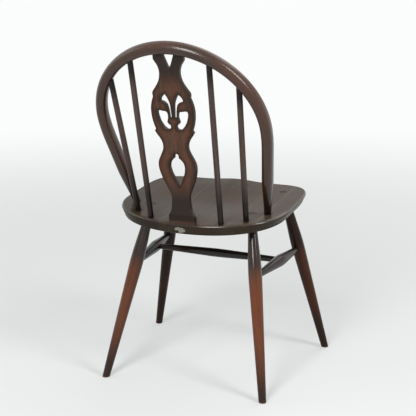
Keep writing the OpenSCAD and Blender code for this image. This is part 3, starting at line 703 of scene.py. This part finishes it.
def turned(node, foot, way, rings, material, seed, wear, dirt_and_shade, polish=None, lift=None, sides=56):
    """A lathe-turned piece from (distance, radius) rings, a little uneven.

    wear, dirt and painted shade, and polish give its shares at a distance. lift gives how far a point of
    the ring at a distance moves along the way.
    """
    way = way.normalized()
    u, v = across(way)
    points, grain, wears, dirt_and_shade_shares, polishes = [], [], [], [], []
    for s, r in rings:
        for i in range(sides):
            a = 2 * math.pi * i / sides
            uneven = noise.noise(Vector((math.cos(a) * 0.6, math.sin(a) * 0.6, s * 0.05 + seed * 9)))
            radius = r + 0.05 * uneven
            off = radius * math.cos(a) * u + radius * math.sin(a) * v
            along = s + (lift(s, off) if lift else 0.0)
            points.append(place(foot + along * way + off))
            grain.append((radius * math.cos(a) * MM + seed, radius * math.sin(a) * MM - seed,
                          along * MM + 3 * seed))
            wears.append(wear(s))
            dirt_and_shade_shares.append(dirt_and_shade(s))
            polishes.append(polish(s) if polish else 0.0)
    faces = skin(len(rings), sides)
    make(node + "_wood", points, faces, grain, material, node, wears, dirt_and_shade_shares, polishes)


def swell_ends(foot, crest, head, length):
    """Where the rounding over a crest starts and ends on the straight tapers, as (radius, distance)."""
    low = crest + (foot - crest).normalized() * length / 2
    high = crest + (head - crest).normalized() * length / 2
    return low, high


def rounding(low, crest, high, steps):
    """Rings of the rounding over a crest, without its two ends."""
    curve = (bezier((low, crest, high), k / steps) for k in range(1, steps))
    return [(p.y, p.x) for p in curve]


def taper(start, end, steps):
    """Rings of a straight taper between two rings."""
    (s, r), (end_s, end_r) = start, end
    return [(s + (end_s - s) * k / steps, r + (end_r - r) * k / steps) for k in range(steps + 1)]


def spindle(node, side, sizes, seed):
    foot_x, foot_at, head_x = sizes
    foot = Vector((side * foot_x, -foot_at, seat_top(side * foot_x, -foot_at)))
    way = bow_over(side * head_x) - foot
    length = way.length
    rings = [(-SPINDLE_SOCKET + 0.5, SPINDLE_R)]
    for k in range(SPINDLE_STEPS + 1):
        belly = 0.25 * math.sin(math.pi * k / SPINDLE_STEPS)
        rings.append((length * k / SPINDLE_STEPS, SPINDLE_R + belly - 0.12))

    def wear(s):
        return 0.18 * math.sin(math.pi * min(1, max(0, s / length)))

    # Painted shade darkens both ends, where the spindle meets the seat and the bow
    def dirt_and_shade(s):
        return 1.25 * max(1 - smooth_step(s, 20, 140), smooth_step(s, length - 85, length - 25))

    turned(node, foot, way, rings, "spindle", seed, wear, dirt_and_shade, sides=36)


for index, (spindle_name, turn, sizes) in enumerate((
        ("left_outer", 1, OUTER), ("left_inner", 1, INNER),
        ("right_inner", -1, INNER), ("right_outer", -1, OUTER))):
    spindle("spindle_" + spindle_name, turn, sizes, 0.31 + 0.17 * index)


def leg_line(side, front):
    """A leg's foot, and its way for each unit of height."""
    x, (inward, to_middle) = (FRONT_X, FRONT_WAY) if front else (REAR_X, REAR_WAY)
    foot = Vector((side * x, -FEET_APART if front else 0.0, 0.0))
    return foot, Vector((-side * inward, to_middle if front else -to_middle, 1.0))


def leg_length(side, front):
    """A leg's length from the floor to the seat's top."""
    foot, way = leg_line(side, front)
    h = SEAT_FRONT_H
    for _ in range(8):
        p = foot + h * way
        h = seat_top(p.x, p.y)
    return h * way.length


def leg(node, side, front, seed, dark):
    foot, way = leg_line(side, front)
    unit = way.normalized()
    top = leg_length(side, front)
    neck_at = top - SEAT_T - NECK_UNDER_SEAT
    crest = Vector((SWELL_D / 2, SWELL_AT))
    low, high = swell_ends(Vector((FOOT_D / 2, 0)), crest, Vector((NECK_D / 2, neck_at)), SWELL_LEN)
    # The worn foot and the end in the seat each have a small round edge
    rings = [(0, FOOT_D / 2 - 1.6), (0.35, FOOT_D / 2 - 0.7), (1.1, FOOT_D / 2 - 0.15)]
    marks = [2, 4, 7, 11, 16, 22, 30, 40] + [50 + (low.y - 50) * k / 24 for k in range(25)]
    rings += [(s, FOOT_D / 2 + (low.x - FOOT_D / 2) * s / low.y) for s in marks]
    rings += rounding(low, crest, high, 14) + taper((high.y, high.x), (neck_at, NECK_D / 2), 9)
    rings += [(top - 3, NECK_D / 2), (top - 0.15, NECK_D / 2), (top + 0.04, NECK_D / 2 - 0.08)]

    def lift(s, off):
        """Cuts the foot level with the floor, and the top end along the seat."""
        if s < 40:
            return (1 - s / 40) * (-off.z / unit.z)
        if s > top - 4:
            middle = foot + s * unit
            p = middle + off
            return (seat_top(p.x, p.y) - seat_top(*middle.xy) - off.z) / unit.z
        return 0.0

    def wear(s):
        return 1.6 * (1 - smooth_step(s, 0, 4)) + 0.1

    # Painted shade darkens each leg by its dark share, more on the legs further from the light. Above the
    # swell, under the seat, painted shade and dirt make it nearly black, and painted shade darkens it towards
    # the floor
    def dirt_and_shade(s):
        shade_and_stain = dark + (1.6 - dark) * smooth_step(s, SWELL_AT - 36, SWELL_AT + 40)
        return shade_and_stain + 0.9 * (1 - smooth_step(s, 8, 148))

    def polish(s):
        if s > top - 5:
            return -0.5
        return -0.3 if front else 0.28 * smooth_step(s, SWELL_AT - 40, SWELL_AT + 10)

    turned(node, foot, way, rings, "leg", seed, wear, dirt_and_shade, polish, lift)


SIDES = (("left", 1), ("right", -1))
# Each leg: its name, its side, whether it is at the front, and its share of painted shade, larger on the legs
# further from the light
LEGS = (("rear_left", 1, False, 0.3), ("rear_right", -1, False, 0.12),
        ("front_left", 1, True, 1.2), ("front_right", -1, True, 0.75))
for index, (leg_name, turn, front, dark) in enumerate(LEGS):
    leg("leg_" + leg_name, turn, front, 1.13 + 0.29 * index, dark)


def leg_point(side, front):
    foot, way = leg_line(side, front)
    return foot + (STRETCHER_FRONT_H if front else STRETCHER_REAR_H) * way


def rail(node, start, end, swell_at, swell_d, round_len, seed, rub):
    """A turned rail: straight ends, tapers to a crest at a distance from its start, rounded over it."""
    way = end - start
    length = way.length - 2 * END_GAP
    r = END_D / 2
    foot = Vector((r, RAIL_STRAIGHT))
    crest = Vector((swell_d / 2, swell_at))
    head = Vector((r, length - RAIL_STRAIGHT))
    low, high = swell_ends(foot, crest, head, round_len)
    rings = [(0, r - 0.4), (0.4, r), (RAIL_STRAIGHT / 2, r)]
    rings += taper((foot.y, foot.x), (low.y, low.x), 14) + rounding(low, crest, high, 12)
    rings += taper((high.y, high.x), (head.y, head.x), 14)
    rings += [(length - RAIL_STRAIGHT / 2, r), (length - 0.4, r), (length, r - 0.4)]

    def wear(s):
        return rub * (1 - smooth_step(abs(s - swell_at), 0, 60))

    def dirt_and_shade(s):
        return 0.9 - 0.6 * smooth_step(min(s, length - s), 0, 60)

    turned(node, start + END_GAP * way.normalized(), way, rings, "rail", seed, wear, dirt_and_shade,
           sides=48)


middles = []
for index, (side_name, turn) in enumerate(SIDES):
    rear, front_end = leg_point(turn, False), leg_point(turn, True)
    middles.append(rear + CROSS_AT * (front_end - rear).normalized())
    rail("side_stretcher_" + side_name, rear, front_end, SIDE_SWELL_AT, SIDE_SWELL_D, SIDE_ROUND,
         2.41 + 0.37 * index, 0.3)
cross_half = (middles[0] - middles[1]).length / 2
rail("cross_stretcher", middles[1], middles[0], cross_half - END_GAP, CROSS_SWELL_D, CROSS_ROUND, 3.3, 0.1)


# Wedges
def wedge(node, centre, long_way, thin_way, up_way, length, deep, seed):
    """A driven wedge whose end stands just proud of the tenon it spreads."""
    long_way, thin_way, up_way = (Vector(v).normalized() for v in (long_way, thin_way, up_way))
    # Heights with the share of the full thickness there, and places along the length with theirs
    rows = [(-deep, 0.12), (-0.5, 0.96), (-0.05, 0.97), (0.03, 0.94)]
    ends = [(-0.5, 0.55), (-0.47, 0.9), (-0.3, 1.0), (0.3, 1.0), (0.47, 0.9), (0.5, 0.55)]
    loop = ends + [(x, -t) for x, t in reversed(ends)]
    points, grain = [], []
    for h, f in rows:
        shrink = 1.0 if h < 0 else 0.985
        for x, t in loop:
            a, b = x * length * shrink, t * WEDGE_T / 2 * f
            b += 0.06 * noise.noise(Vector((x * 9, t, h + seed)))
            points.append(place(centre + a * long_way + b * thin_way + h * up_way))
            grain.append((a * MM + seed, b * MM, h * MM))
    faces = skin(len(rows), len(loop))
    if long_way.cross(thin_way).dot(up_way) >= 0:
        faces = turned_over(faces)
    dirt_and_shade = [0.2] * len(points)
    make(node + "_wood", points, faces, grain, "wedge", node, dirt_and_shade=dirt_and_shade, sharp=40)


def seat_slopes(x, y, step=5.0):
    """Two directions along the seat's top at a point: across the chair, and from front to back."""
    rise_x = (seat_top(x + step, y) - seat_top(x - step, y)) / (2 * step)
    rise_y = (seat_top(x, y + step) - seat_top(x, y - step)) / (2 * step)
    return Vector((1, 0, rise_x)), Vector((0, 1, rise_y))


for index, (leg_name, turn, front, _) in enumerate(LEGS):
    foot, way = leg_line(turn, front)
    centre = foot + way.normalized() * leg_length(turn, front)
    slope_x, slope_y = seat_slopes(centre.x, centre.y)
    wedge("leg_wedge_" + leg_name, centre + Vector((0, 0, 0.06)), slope_x, slope_y, slope_x.cross(slope_y),
          NECK_D * 0.98, LEG_WEDGE_IN, 4.0 + 0.3 * index)
for index, (side_name, turn) in enumerate(SIDES):
    down = -(turn * math.sin(BOW_SPLAY) * Vector((1, 0, 0)) + math.cos(BOW_SPLAY) * BOW_UP)
    centre = Vector((turn * BOW_X, -BOW_AT, BOW_FOOT_Z)) + down * BOW_UNDER
    wedge("bow_wedge_" + side_name, centre - Vector((0, 0, 0.1)), (1, 0, 0), (0, 1, -SEAT_SLOPE),
          (0, -SEAT_SLOPE, -1), BOW_FOOT_D * 0.96, BOW_WEDGE_IN, 5.5 + 0.3 * index)

# Splat. Its left half is drawn as (distance from the middle, height over the seat) at the drawn height.
SPLAT_Z = seat_top(0, -SPLAT_FOOT_AT)
SPLAT_RISE = (bow_over(0).z - BOW_THICK / 2 - SPLAT_Z) / SPLAT_DRAWN_H
SPLAT_TOP_Z = bow_over(0).z - BOW_THICK / 2 + PRONG_IN - PRONG_END_GAP
FLARE = ((SPLAT_FOOT_HALF + 1.3, PLINTH_H + 0.2), (26.8, 30.9), (23.3, 48.9), (22.6, 61.8), (23.8, 72.8),
         (27.6, 81.8), (33.2, 94.7), (39.4, 108.7), (44.8, 125.7), (47.4, 142.6), (45.4, 156.6),
         (38.4, 171.5), (33, 182.5), (31, 191.5), (32, 201.5), (36.4, 211.4), (43.2, 220.9), (48.6, 229.4))
LEAF = ((45.4, 234.9), (49.4, 246.3), (52.6, 261.3), (SPLAT_FULL_HALF, 276.3), (52.8, 288.2),
        (49.6, 301.2), (45.6, 311.7))
NECK = ((45.6, 311.7), (46.6, 318.6), (44.8, 324.6), (38.8, 332.6), (31.4, 343.6), (26.7, 354.5),
        (24.8, 367), (25.6, 376), (28.6, 385), (33.1, 391.9), (37.4, 398.4))
PRONG = ((14.2, 411.9), (9.6, 398.9), (4.2, 385), (0, 378.5))
PETAL = (((16, 318.5), (21, 315.8), (27, 309.2), (28.8, 303.2)),
         ((28.8, 303.2), (21, 300.4), (15.5, 295.8), (12.8, 290.2), (10.5, 278.3), (9.3, 263.3)),
         ((2.4, 263.3), (3.5, 277.3), (4.4, 291.2), (5.9, 299.2), (10.5, 310.2), (16, 318.5)))
LEAF_HOLE = ((37.2, 278.7), (31.7, 279.4), (24, 278.1), (17.2, 277.5), (13, 273.3), (12, 263.8),
             (13.6, 256.9), (14.6, 252.5), (11.8, 248.1), (7.2, 244.3), (6.9, 239.4), (10.4, 235.4),
             (17, 235), (23.5, 238.8), (29.5, 245.9), (34.6, 255.3), (37.8, 266.3), (38.8, 273.3))
DROP = ((0, 91.8), (7, 105.1), (11.2, 114.7), (16, 125.3), (18.7, 135.6), (19.4, 144.6), (16.9, 154.6),
        (10.6, 162), (7.4, 164.6), (6.1, 166.8), (6.3, 169.8), (4.4, 174.1), (0, 176.1))
# Distances between the points of the outline, of the thistle's holes and of the drop-shaped hole
OUTLINE_GAP = 1.8
HOLE_GAP = 1.4
DROP_GAP = 1.5
# Points of the broad faces between the loops: spacing, rows, columns to each side, and room to the loops
GRID = 5.0
GRID_ROWS = 84
GRID_HALF = 11
GRID_ROOM = 2.2


def splat_back():
    """The line of the splat's back from the side: upright at its foot, then bent to lean back."""
    bend_end = Vector((-SPLAT_FOOT_AT + BEND_BACK, SPLAT_Z + BEND_TOP))
    bend = [(-SPLAT_FOOT_AT, SPLAT_Z), (-SPLAT_FOOT_AT + BEND_FIRST_BACK, SPLAT_Z + BEND_FOOT_PULL),
            (bend_end.x - BEND_LEAN_PULL * SPLAT_SLOPE, bend_end.y - BEND_LEAN_PULL), tuple(bend_end)]
    line = [Vector((-SPLAT_FOOT_AT, SPLAT_Z - SPLAT_HOUSING))]
    line += [bezier(bend, k / BEND_STEPS) for k in range(BEND_STEPS + 1)]
    line.append(bend_end + (SPLAT_TOP_Z + 12 - bend_end.y) * Vector((SPLAT_SLOPE, 1)))
    return line


def moved_forward(line, by):
    made = []
    for k, p in enumerate(line):
        d = (line[min(k + 1, len(line) - 1)] - line[max(k - 1, 0)]).normalized()
        made.append(p + by * Vector((-d.y, d.x)))
    return made


def depth_at(line, z):
    for a, b in zip(line, line[1:]):
        if z <= b.y:
            return a.x + (b.x - a.x) * (z - a.y) / (b.y - a.y)
    return line[-1].x


def smooth_line(points, steps=7, closed=False):
    """A smooth curve that passes through the points."""
    def at(k):
        return Vector(points[k % len(points) if closed else min(len(points) - 1, max(0, k))])

    made = []
    for k in range(len(points) - (0 if closed else 1)):
        a, b, c, d = at(k - 1), at(k), at(k + 1), at(k + 2)
        for i in range(steps):
            t = i / steps
            made.append(0.5 * (2 * b + t * (c - a) + t * t * (2 * a - 5 * b + 4 * c - d)
                               + t ** 3 * (3 * b - 3 * c + d - a)))
    return made if closed else made + [at(len(points) - 1)]


def turns_left(points):
    return sum(a.x * b.y - b.x * a.y for a, b in zip(points, points[1:] + points[:1])) > 0


def clean_loop(points):
    """A drawn loop at its real height, without repeated points, turning left."""
    made = []
    for p in points:
        p = Vector((p[0], p[1] * SPLAT_RISE))
        if not made or (p - made[-1]).length > 0.35:
            made.append(p)
    if (made[0] - made[-1]).length < 0.35:
        made.pop()
    return made if turns_left(made) else made[::-1]


def even_loop(points, gap):
    made = []
    for a, b in zip(points, points[1:] + points[:1]):
        n = max(1, round((b - a).length / gap))
        made += [a.lerp(b, k / n) for k in range(n)]
    return made


def shrunk(points, by):
    """The loop moved to its left by a distance, with its corners kept short."""
    made = []
    for k, b in enumerate(points):
        a, c = points[k - 1], points[(k + 1) % len(points)]
        e, f = (b - a).normalized(), (c - b).normalized()
        m = Vector((-e.y - f.y, e.x + f.x))
        if m.length < 1e-6:
            m = Vector((-e.y, e.x))
        m.normalize()
        reach = min(1.5, 1 / max(0.3, m.dot(Vector((-e.y, e.x)))))
        made.append(b + m * by * reach)
    return made


def inside(p, loop):
    hit = False
    for a, b in zip(loop, loop[1:] + loop[:1]):
        if (a.y > p.y) != (b.y > p.y) and p.x < (b.x - a.x) * (p.y - a.y) / (b.y - a.y) + a.x:
            hit = not hit
    return hit


def in_wood(p, loops):
    """Inside the outline and in none of the holes."""
    return inside(p, loops[0]) and not any(inside(p, hole) for hole in loops[1:])


def mirrored(points):
    return [Vector((-p.x, p.y)) for p in points]


def splat_loops():
    """The outline, turning left, then the holes, turning right, so that the wood is always to the left."""
    top = (SPLAT_TOP_Z - SPLAT_Z) / SPLAT_RISE
    half = smooth_line(FLARE) + smooth_line(LEAF) + smooth_line(NECK)
    half += [Vector((NECK[-1][0], top)), Vector((PRONG[0][0], top))] + smooth_line(PRONG)
    petal = [p for part in PETAL for p in smooth_line(part)]
    leaf = smooth_line(LEAF_HOLE, closed=True)
    drop = smooth_line(DROP)
    drop += mirrored(drop)[::-1]
    holes = [even_loop(clean_loop(hole), HOLE_GAP) for hole in (petal, mirrored(petal), leaf, mirrored(leaf))]
    holes.append(even_loop(clean_loop(drop), DROP_GAP))
    outer = even_loop(clean_loop(half + mirrored(half)[::-1]), OUTLINE_GAP)
    return [outer] + [hole[::-1] for hole in holes]


def splat_bands(loops, rows):
    """The sawn edges with their small roundings: points of the plan, their depths, faces and first points."""
    flat, depths, faces, starts = [], [], [], []
    for loop in loops:
        start, n = len(flat), len(loop)
        starts.append(start)
        for inward, depth in rows:
            flat += shrunk(loop, inward) if inward else loop
            depths += [depth] * n
        for k in range(len(rows) - 1):
            for i in range(n):
                a, b = start + k * n + i, start + k * n + (i + 1) % n
                faces.append((a, b, b + n, a + n))
    return flat, depths, faces, starts


def grid_points(bounds, rim):
    """Points inside the wood, so that the broad faces can bend."""
    made = []
    for j in range(GRID_ROWS):
        for i in range(-GRID_HALF, GRID_HALF + 1):
            p = Vector(((i + 0.5 * (j % 2)) * GRID, -5 + j * GRID))
            if in_wood(p, bounds) and min((p - q).length for q in rim) > GRID_ROOM:
                made.append(p)
    return made


def splat_plan():
    """Points of the plan, their depths, the faces between them, and the rim of the broad faces."""
    r = SPLAT_EDGE_ROUND
    rows = [(r, 0.0), (r * 0.5, r * 0.13), (r * 0.13, r * 0.5), (0.0, r), (0.0, SPLAT_T / 2)]
    rows += [(d, SPLAT_T - t) for d, t in reversed(rows[:-1])]
    loops = splat_loops()
    flat, depths, faces, starts = splat_bands(loops, rows)
    # The two broad faces share one triangulation between the drawn-in loops
    rim, rim_edges, rim_index, bounds = [], [], [], []
    for loop, start in zip(loops, starts):
        n, base = len(loop), len(rim)
        bounds.append(flat[start:start + n])
        rim += bounds[-1]
        rim_index += [(start + i, start + (len(rows) - 1) * n + i) for i in range(n)]
        rim_edges += [(base + i, base + (i + 1) % n) for i in range(n)]
    everything = rim + grid_points(bounds, rim)
    verts, _, tris, origin, _, _ = geometry.delaunay_2d_cdt(everything, rim_edges, [], 0, 1e-6)
    back_index, front_index = {}, {}
    for k, sources in enumerate(origin):
        if sources[0] < len(rim):
            back_index[k], front_index[k] = rim_index[sources[0]]
        else:
            back_index[k], front_index[k] = len(flat), len(flat) + 1
            flat += [verts[k], verts[k]]
            depths += [0.0, SPLAT_T]
    for tri in tris:
        corners = [verts[k] for k in tri]
        if not in_wood(sum(corners, Vector((0, 0))) / 3, bounds):
            continue
        tri = list(tri) if turns_left(corners) else list(tri)[::-1]
        faces.append(tuple(back_index[k] for k in reversed(tri)))
        faces.append(tuple(front_index[k] for k in tri))
    return flat, depths, faces, rim


def splat_piece():
    flat, depths, faces, rim = splat_plan()
    rim_tree = kdtree.KDTree(len(rim))
    for k, p in enumerate(rim):
        rim_tree.insert((p.x, p.y, 0), k)
    rim_tree.balance()
    back_line = splat_back()
    front_line = moved_forward(back_line, SPLAT_T)
    points, grain, wear, dirt_and_shade, polish = [], [], [], [], []
    for p, t in zip(flat, depths):
        z = SPLAT_Z + p.y
        back, front = depth_at(back_line, z), depth_at(front_line, z)
        points.append(place((p.x, back + (front - back) * t / SPLAT_T, z)))
        grain.append((p.x * MM, t * MM, p.y * MM))
        on_edge = 0 < t <= SPLAT_EDGE_ROUND or SPLAT_T - SPLAT_EDGE_ROUND <= t < SPLAT_T
        wear.append(0.35 if on_edge else 0.0)
        # Painted shade darkens the wood just over the plinth. Dark staining gathers along every sawn edge,
        # and the wood darkens towards both ends
        shade_over_plinth = 1.3 * (1 - smooth_step(p.y, PLINTH_H + 1.0, PLINTH_H + 3.2))
        along_edge = 0.85 * (1 - smooth_step(rim_tree.find((p.x, p.y, 0))[2], 0, 11))
        at_ends = max(1.15 * (1 - smooth_step(p.y, 45, 120)), 1.05 * smooth_step(p.y, 325, 375))
        dirt_and_shade.append(max(shade_over_plinth, at_ends, along_edge))
        polish.append(0.2 * min(1.0, at_ends))
    # Seen from behind, +X is on the left, so every face is turned over
    faces = turned_over(faces)
    obj = make("splat_wood", points, faces, grain, "splat", "splat", wear, dirt_and_shade, polish,
               sharp=38)
    bm = bmesh.new()
    bm.from_mesh(obj.data)
    bmesh.ops.recalc_face_normals(bm, faces=bm.faces)
    bm.to_mesh(obj.data)
    bm.free()


splat_piece()


def plinth():
    """The block that the splat stands on, let into the seat, with rounded edges."""
    r, half, back = PLINTH_ROUND, SPLAT_FOOT_HALF, -SPLAT_FOOT_AT + 0.5
    front = back - PLINTH_T
    # Heights, each with how far the block is drawn in there
    rows = [(-SPLAT_HOUSING, 0.0), (2.0, 0.0), (5.0, 0.0), (8.0, 0.0), (10.5, 0.0), (13.0, 0.0),
            (PLINTH_H - r, 0.0), (PLINTH_H - r * 0.4, r * 0.15), (PLINTH_H - r * 0.1, r * 0.5),
            (PLINTH_H, r * 0.85)]
    loop = []
    for cx, cy, start in ((half - r, back - r, 0), (r - half, back - r, 90), (r - half, front + r, 180),
                          (half - r, front + r, 270)):
        loop += [(cx, cy, math.radians(start + 22.5 * k)) for k in range(5)]
        if start in (0, 180):
            step = (2 * half - 2 * r) * (-1 if start == 0 else 1) / 24
            loop += [(cx + step * k, cy, math.radians(start + 90)) for k in range(1, 24)]
    points, grain, wear, dirt_and_shade = [], [], [], []
    for h, d in rows:
        # Painted shade darkens the block, most towards its top under the splat's flare; its lower part is
        # less darkened and a little rubbed
        low = 1 - smooth_step(h, 5, 9)
        for cx, cy, a in loop:
            x, y = cx + (r - d) * math.cos(a), cy + (r - d) * math.sin(a)
            points.append(place((x, y, SPLAT_Z + h)))
            grain.append((h * MM + 0.3, (y + 9) * MM, x * MM))
            wear.append(0.15 * low)
            dirt_and_shade.append(1.25 - 0.6 * low)
    make("splat_plinth_wood", points, skin(len(rows), len(loop)), grain, "splat", "splat",
         wear, dirt_and_shade, sharp=50)


plinth()


# Floor, light and camera
def seen_in_view(tree):
    """1 for what the camera sees straight on, in a mirror or through glass, and 0 for light on the chair."""
    path = add_node(tree, "ShaderNodeLightPath").outputs
    seen = calc(tree, "MAXIMUM", path["Is Camera Ray"], path["Is Glossy Ray"])
    return calc(tree, "MAXIMUM", seen, path["Is Transmission Ray"])


def floor_material():
    """A flat pale floor in view, white far off, which throws back less light on the chair than it shows."""
    mat, tree = new_material("floor_plain")
    where = add_node(tree, "ShaderNodeTexCoord").outputs["Object"]
    away = add_node(tree, "ShaderNodeVectorMath", {0: where}, operation="LENGTH").outputs["Value"]
    shade = add_node(tree, "ShaderNodeBsdfDiffuse", {0: FLOOR_IN_VIEW})
    white = add_node(tree, "ShaderNodeEmission", {0: HORIZON_WHITE, 1: 1.0})
    in_view = mix_shaders(tree, smooth_range(tree, away, 0.7, 4.0, 0.3, 1.0), shade, white)
    dim = add_node(tree, "ShaderNodeBsdfDiffuse", {0: FLOOR_AS_LIGHT})
    both = mix_shaders(tree, seen_in_view(tree), dim, in_view)
    add_node(tree, "ShaderNodeOutputMaterial", {"Surface": both.outputs[0]})
    return mat


def floor():
    bm = bmesh.new()
    angles = [2 * math.pi * i / FLOOR_SIDES for i in range(FLOOR_SIDES)]
    bm.faces.new([bm.verts.new((FLOOR_R * math.cos(a), FLOOR_R * math.sin(a), 0)) for a in angles])
    mesh = bpy.data.meshes.new("floor")
    bm.to_mesh(mesh)
    bm.free()
    mesh.materials.append(floor_material())
    obj = add_object("floor", mesh)


floor()


def lamp(name, at, target, size, power):
    """A white rectangle of light, with its places and size in metres and its power in watts."""
    data = bpy.data.lights.new(name, "AREA")
    data.shape = "RECTANGLE"
    data.size, data.size_y = size
    data.energy = power
    obj = add_object(name, data)
    obj.location = at
    obj.rotation_euler = (Vector(target) - Vector(at)).to_track_quat("-Z", "Y").to_euler()


lamp("window_behind", (0.09, 2.55, 2.30), (0, 0, 0.45), (0.9, 1.8), 68)
lamp("window_side", (-2.45, 0.70, 2.30), (0, 0, 0.45), (0.8, 1.6), 46)
lamp("fill", (2.6, 0.6, 2.0), (0, 0, 0.5), (1.8, 1.6), 8)
lamp("front", (-0.5, -2.4, 3.1), (0, 0, 0.6), (2.6, 2.0), 28)


def room():
    """A dim even light on the chair. In view it is white at the horizon and grey above."""
    world = bpy.data.worlds.new("pale_room")
    bpy.context.scene.world = world
    world.use_nodes = True
    tree = world.node_tree
    light = tree.nodes["Background"]
    give(tree, light.inputs[0], ROOM_LIGHT)
    give(tree, light.inputs[1], ROOM_STRENGTH)
    way = add_node(tree, "ShaderNodeTexCoord").outputs["Generated"]
    height = add_node(tree, "ShaderNodeSeparateXYZ", {0: way}).outputs["Z"]
    shown = mix_colours(tree, smooth_range(tree, height, 0.05, 0.25, 0.0, 1.0), HORIZON_WHITE, UPPER_GREY)
    in_view = add_node(tree, "ShaderNodeBackground", {0: shown, 1: 1.0})
    both = mix_shaders(tree, seen_in_view(tree), light, in_view)
    give(tree, tree.nodes["World Output"].inputs[0], both.outputs[0])


room()

camera_data = bpy.data.cameras.new("camera")
camera_data.sensor_width = SENSOR_W
camera_data.lens = FOCAL_PIXELS * SENSOR_W / PICTURE_PIXELS
camera = add_object("camera", camera_data)
camera.location = place(CAMERA_AT)
camera.rotation_euler = (math.radians(90 - CAMERA_DOWN), 0, math.radians(180 + CAMERA_TURN))
bpy.context.scene.camera = camera
bpy.context.scene.view_settings.view_transform = "Standard"
